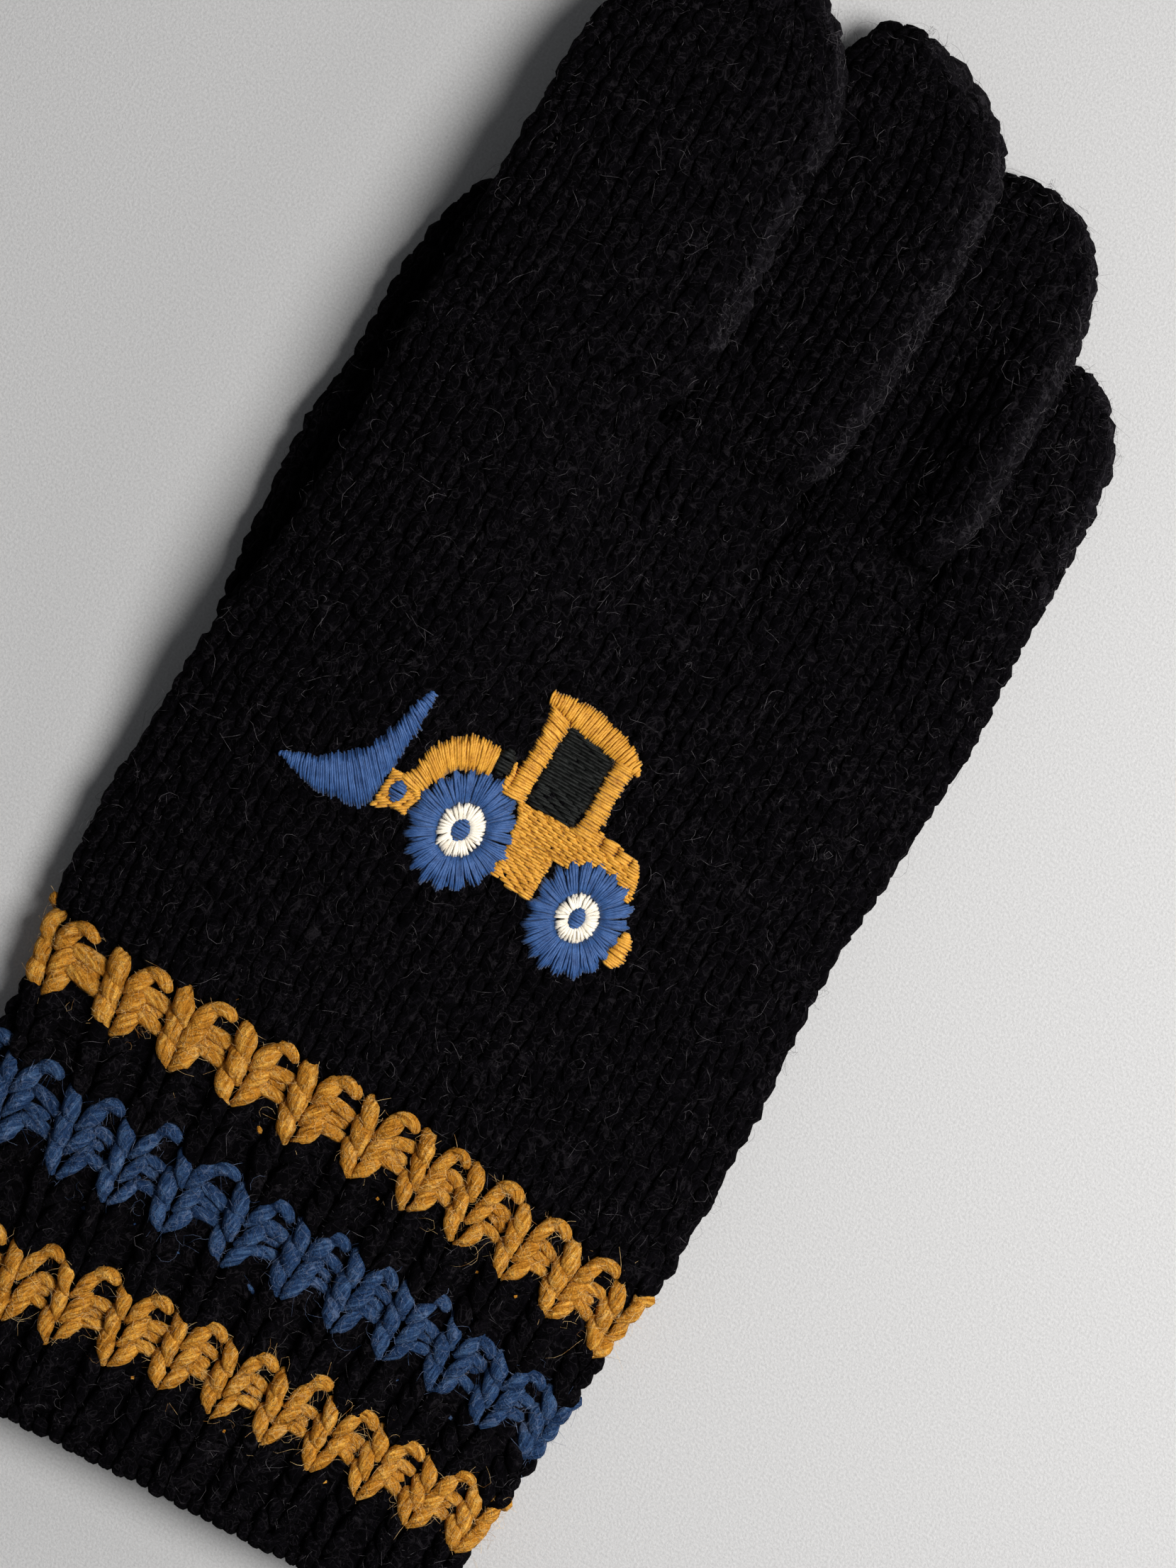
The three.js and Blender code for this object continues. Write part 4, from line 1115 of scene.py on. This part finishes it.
hand_fuzz, finger_fuzz, cuff_fuzz, yellow_fuzz, blue_fuzz = Yarn(), Yarn(), Yarn(), Yarn(), Yarn()
s, m = scatter(hand, 620)
fuzz(hand_fuzz, hand, s, m, 1.4, 5.0, 0.014, 7, hand_shape)
fray(hand_fuzz, hand_back_lines, 1.7, 1.0, 0.015, 0.5, 3)
fray(hand_fuzz, hand_palm_lines, 1.0, 1.0, 0.015, 0.5, 3)
s, m = scatter(thumb, 100, 20.0)
fuzz(hand_fuzz, thumb, s, m, 1.4, 5.0, 0.014, 7)
for name, tube in fingers.items():
    s, m = scatter(tube, round(3.4 * tube.length))
    fuzz(finger_fuzz, tube, s, m, 1.4, 5.0, 0.014, 7)
    fray(finger_fuzz, finger_yarn[name].lines, 1.5, 1.0, 0.015, 0.5, 3)
    fray(finger_fuzz, painted_rim_light_yarn[name].lines, 7.0, 1.1, 0.018, 0.7, 3)
s, m = scatter(cuff, 360, 0, 48)
fuzz(cuff_fuzz, cuff, s, m, 1.3, 4.4, 0.014)
for name, yarn, each in (("cuff_welt", cuff_fuzz, 3.4), ("lower_black_rib", cuff_fuzz, 3.0), ("upper_black_rib", cuff_fuzz, 3.0), ("lower_yellow_stripe", yellow_fuzz, 16.0), ("upper_yellow_stripe", yellow_fuzz, 16.0), ("blue_stripe", blue_fuzz, 16.0)):
    fray(yarn, rib_lines[name], each, 1.1, 0.016 if yarn is cuff_fuzz else 0.02, 0.6, 4)
for yarn, lo, hi in ((yellow_fuzz, 10.0, 18.5), (blue_fuzz, 25.0, 33.0), (yellow_fuzz, 39.5, 47.5)):
    s, m = scatter(cuff, 110, lo, hi)
    fuzz(yarn, cuff, s, m + droop(s, m), 1.3, 3.8, 0.0115)

# ---------------------------------------------------------------- the floor, the light and the camera
floor_mesh = bpy.data.meshes.new("floor")
floor_mesh.from_pydata([(-1.5, -1.5, 0), (1.5, -1.5, 0), (1.5, 1.5, 0), (-1.5, 1.5, 0)], [], [(0, 1, 2, 3)])
floor = bpy.data.objects.new("floor", floor_mesh)
bpy.context.scene.collection.objects.link(floor)
f = Nodes("floor_paper")
spot = f.add("ShaderNodeTexCoord").outputs["Object"]
grain = f.noise(spot, 3400.0, 3.0, 0.65)
f.tree.links.new(f.ramp(grain.outputs["Fac"], [(0.3, (0.44, 0.44, 0.444)), (0.7, (0.56, 0.56, 0.564))]), f.bsdf.inputs["Base Color"])
f.bsdf.inputs["Roughness"].default_value = 0.9
f.bsdf.inputs["Specular IOR Level"].default_value = 0.15
f.tree.links.new(f.bump(grain.outputs["Fac"], 0.35, 0.0003), f.bsdf.inputs["Normal"])
floor_mesh.materials.append(f.material)


def area_light(name, place, look, size, power, colour, spread):
    data = bpy.data.lights.new(name, "AREA")
    data.shape, data.size, data.energy, data.color, data.spread = "DISK", size, power, colour, math.radians(spread)
    o = bpy.data.objects.new(name, data)
    bpy.context.scene.collection.objects.link(o)
    o.location = place
    away = np.array(place) - np.array(look)
    from mathutils import Vector

    o.rotation_euler = Vector(away).to_track_quat("Z", "Y").to_euler()
    return o


area_light("key", (0.28, 0.1, 0.54), (0.1, 0.02, 0), 0.3, 1.72, (1, 0.985, 0.965), 105)
area_light("side", (0.53, 0.28, 0.26), (0, 0, 0), 0.26, 1.1, (1, 0.98, 0.96), 180)
world = bpy.data.worlds.new("studio")
bpy.context.scene.world = world
world.use_nodes = True
world.node_tree.nodes["Background"].inputs["Color"].default_value = (0.8, 0.82, 0.85, 1)
world.node_tree.nodes["Background"].inputs["Strength"].default_value = 0.15

# ---------------------------------------------------------------- pieces
sheets = []
stitches = {
    "hand": [wear(hand_back.make("hand_back_stitches", BLACK), "black_wool", "hand"), wear(hand_palm.make("hand_palm_stitches", BLACK), "black_wool")],
    "thumb": [wear(thumb_yarn.make("thumb_stitches", BLACK), "black_wool", "thumb")],
}
for name, yarn in finger_yarn.items():
    stitches[name] = [wear(yarn.make(name + "_stitches", BLACK), "black_wool", name)]
    # the fingers' painted rim light and painted shade, as stitches in the lighter and darker copies of the black wool
    stitches[name].append(wear(painted_rim_light_yarn[name].make(name + "_edge_stitches", BLACK_PAINTED_RIM_LIGHT), "black_wool"))
    if painted_shade_yarn[name].count:
        stitches[name].append(wear(painted_shade_yarn[name].make(name + "_flank_stitches", BLACK_PAINTED_SHADE), "black_wool"))
for name, (yarn, material, slot) in patches.items():
    stitches["hand"].append(wear(yarn.make(name + "_threads", material), slot, name))
stitches["hand"].append(wear(hand_fuzz.make("hand_fuzz", BLACK_FUZZ), "black_wool"))
stitches["index_finger"].append(wear(finger_fuzz.make("finger_fuzz", BLACK_FUZZ), "black_wool"))
stitches["cuff"] = rib_pieces + [
    wear(cuff_fuzz.make("cuff_fuzz", BLACK_FUZZ), "black_wool"),
    wear(yellow_fuzz.make("yellow_stripe_fuzz", YELLOW_FUZZ), "yellow_wool"),
    wear(blue_fuzz.make("blue_stripe_fuzz", BLUE_FUZZ), "blue_wool"),
]
bands = [(11.0, 18.4, 1), (25.8, 33.0, 2), (40.6, 48.0, 1)]
cloth = [("cuff", fabric("cuff_fabric", HAND, 0.9, HAND_START, 92, 1.5, 2.1, (BLACK, YELLOW, BLUE), stripes=bands), (floor,))]
cloth.append(("hand", fabric("hand_fabric", HAND, HAND_START, HAND_END + 1, 80, 1.05, 1.75, (BLACK,)), (floor,)))
cloth.append(("thumb", fabric("thumb_fabric", THUMB, 70, 145.6, 40, 1.05, 1.75, (BLACK,), closed=True), (floor,)))
for name, rows in (("index_finger", index_rows), ("middle_finger", middle_rows), ("ring_finger", ring_rows), ("little_finger", little_rows)):
    cloth.append((name, fabric(name + "_fabric", rows, 126.3, rows["y"][-1], 40, 1.05, 1.75, (BLACK,), closed=True), (floor,)))
for name, (o, flat), rests in cloth:
    wear(o, "black_wool")

# ---------------------------------------------------------------- camera
cam_data = bpy.data.cameras.new("camera")
cam_data.lens, cam_data.sensor_width = 100, 36
cam = bpy.data.objects.new("camera", cam_data)
bpy.context.scene.collection.objects.link(cam)
cam.location = ((4.9 + SHIFT[0]) / 1000, (89.5 + SHIFT[1]) / 1000, 0.473 + 0.008)
cam.rotation_euler = (0, 0, math.radians(30.5))
bpy.context.scene.camera = cam
bpy.context.scene.view_settings.view_transform = "Standard"
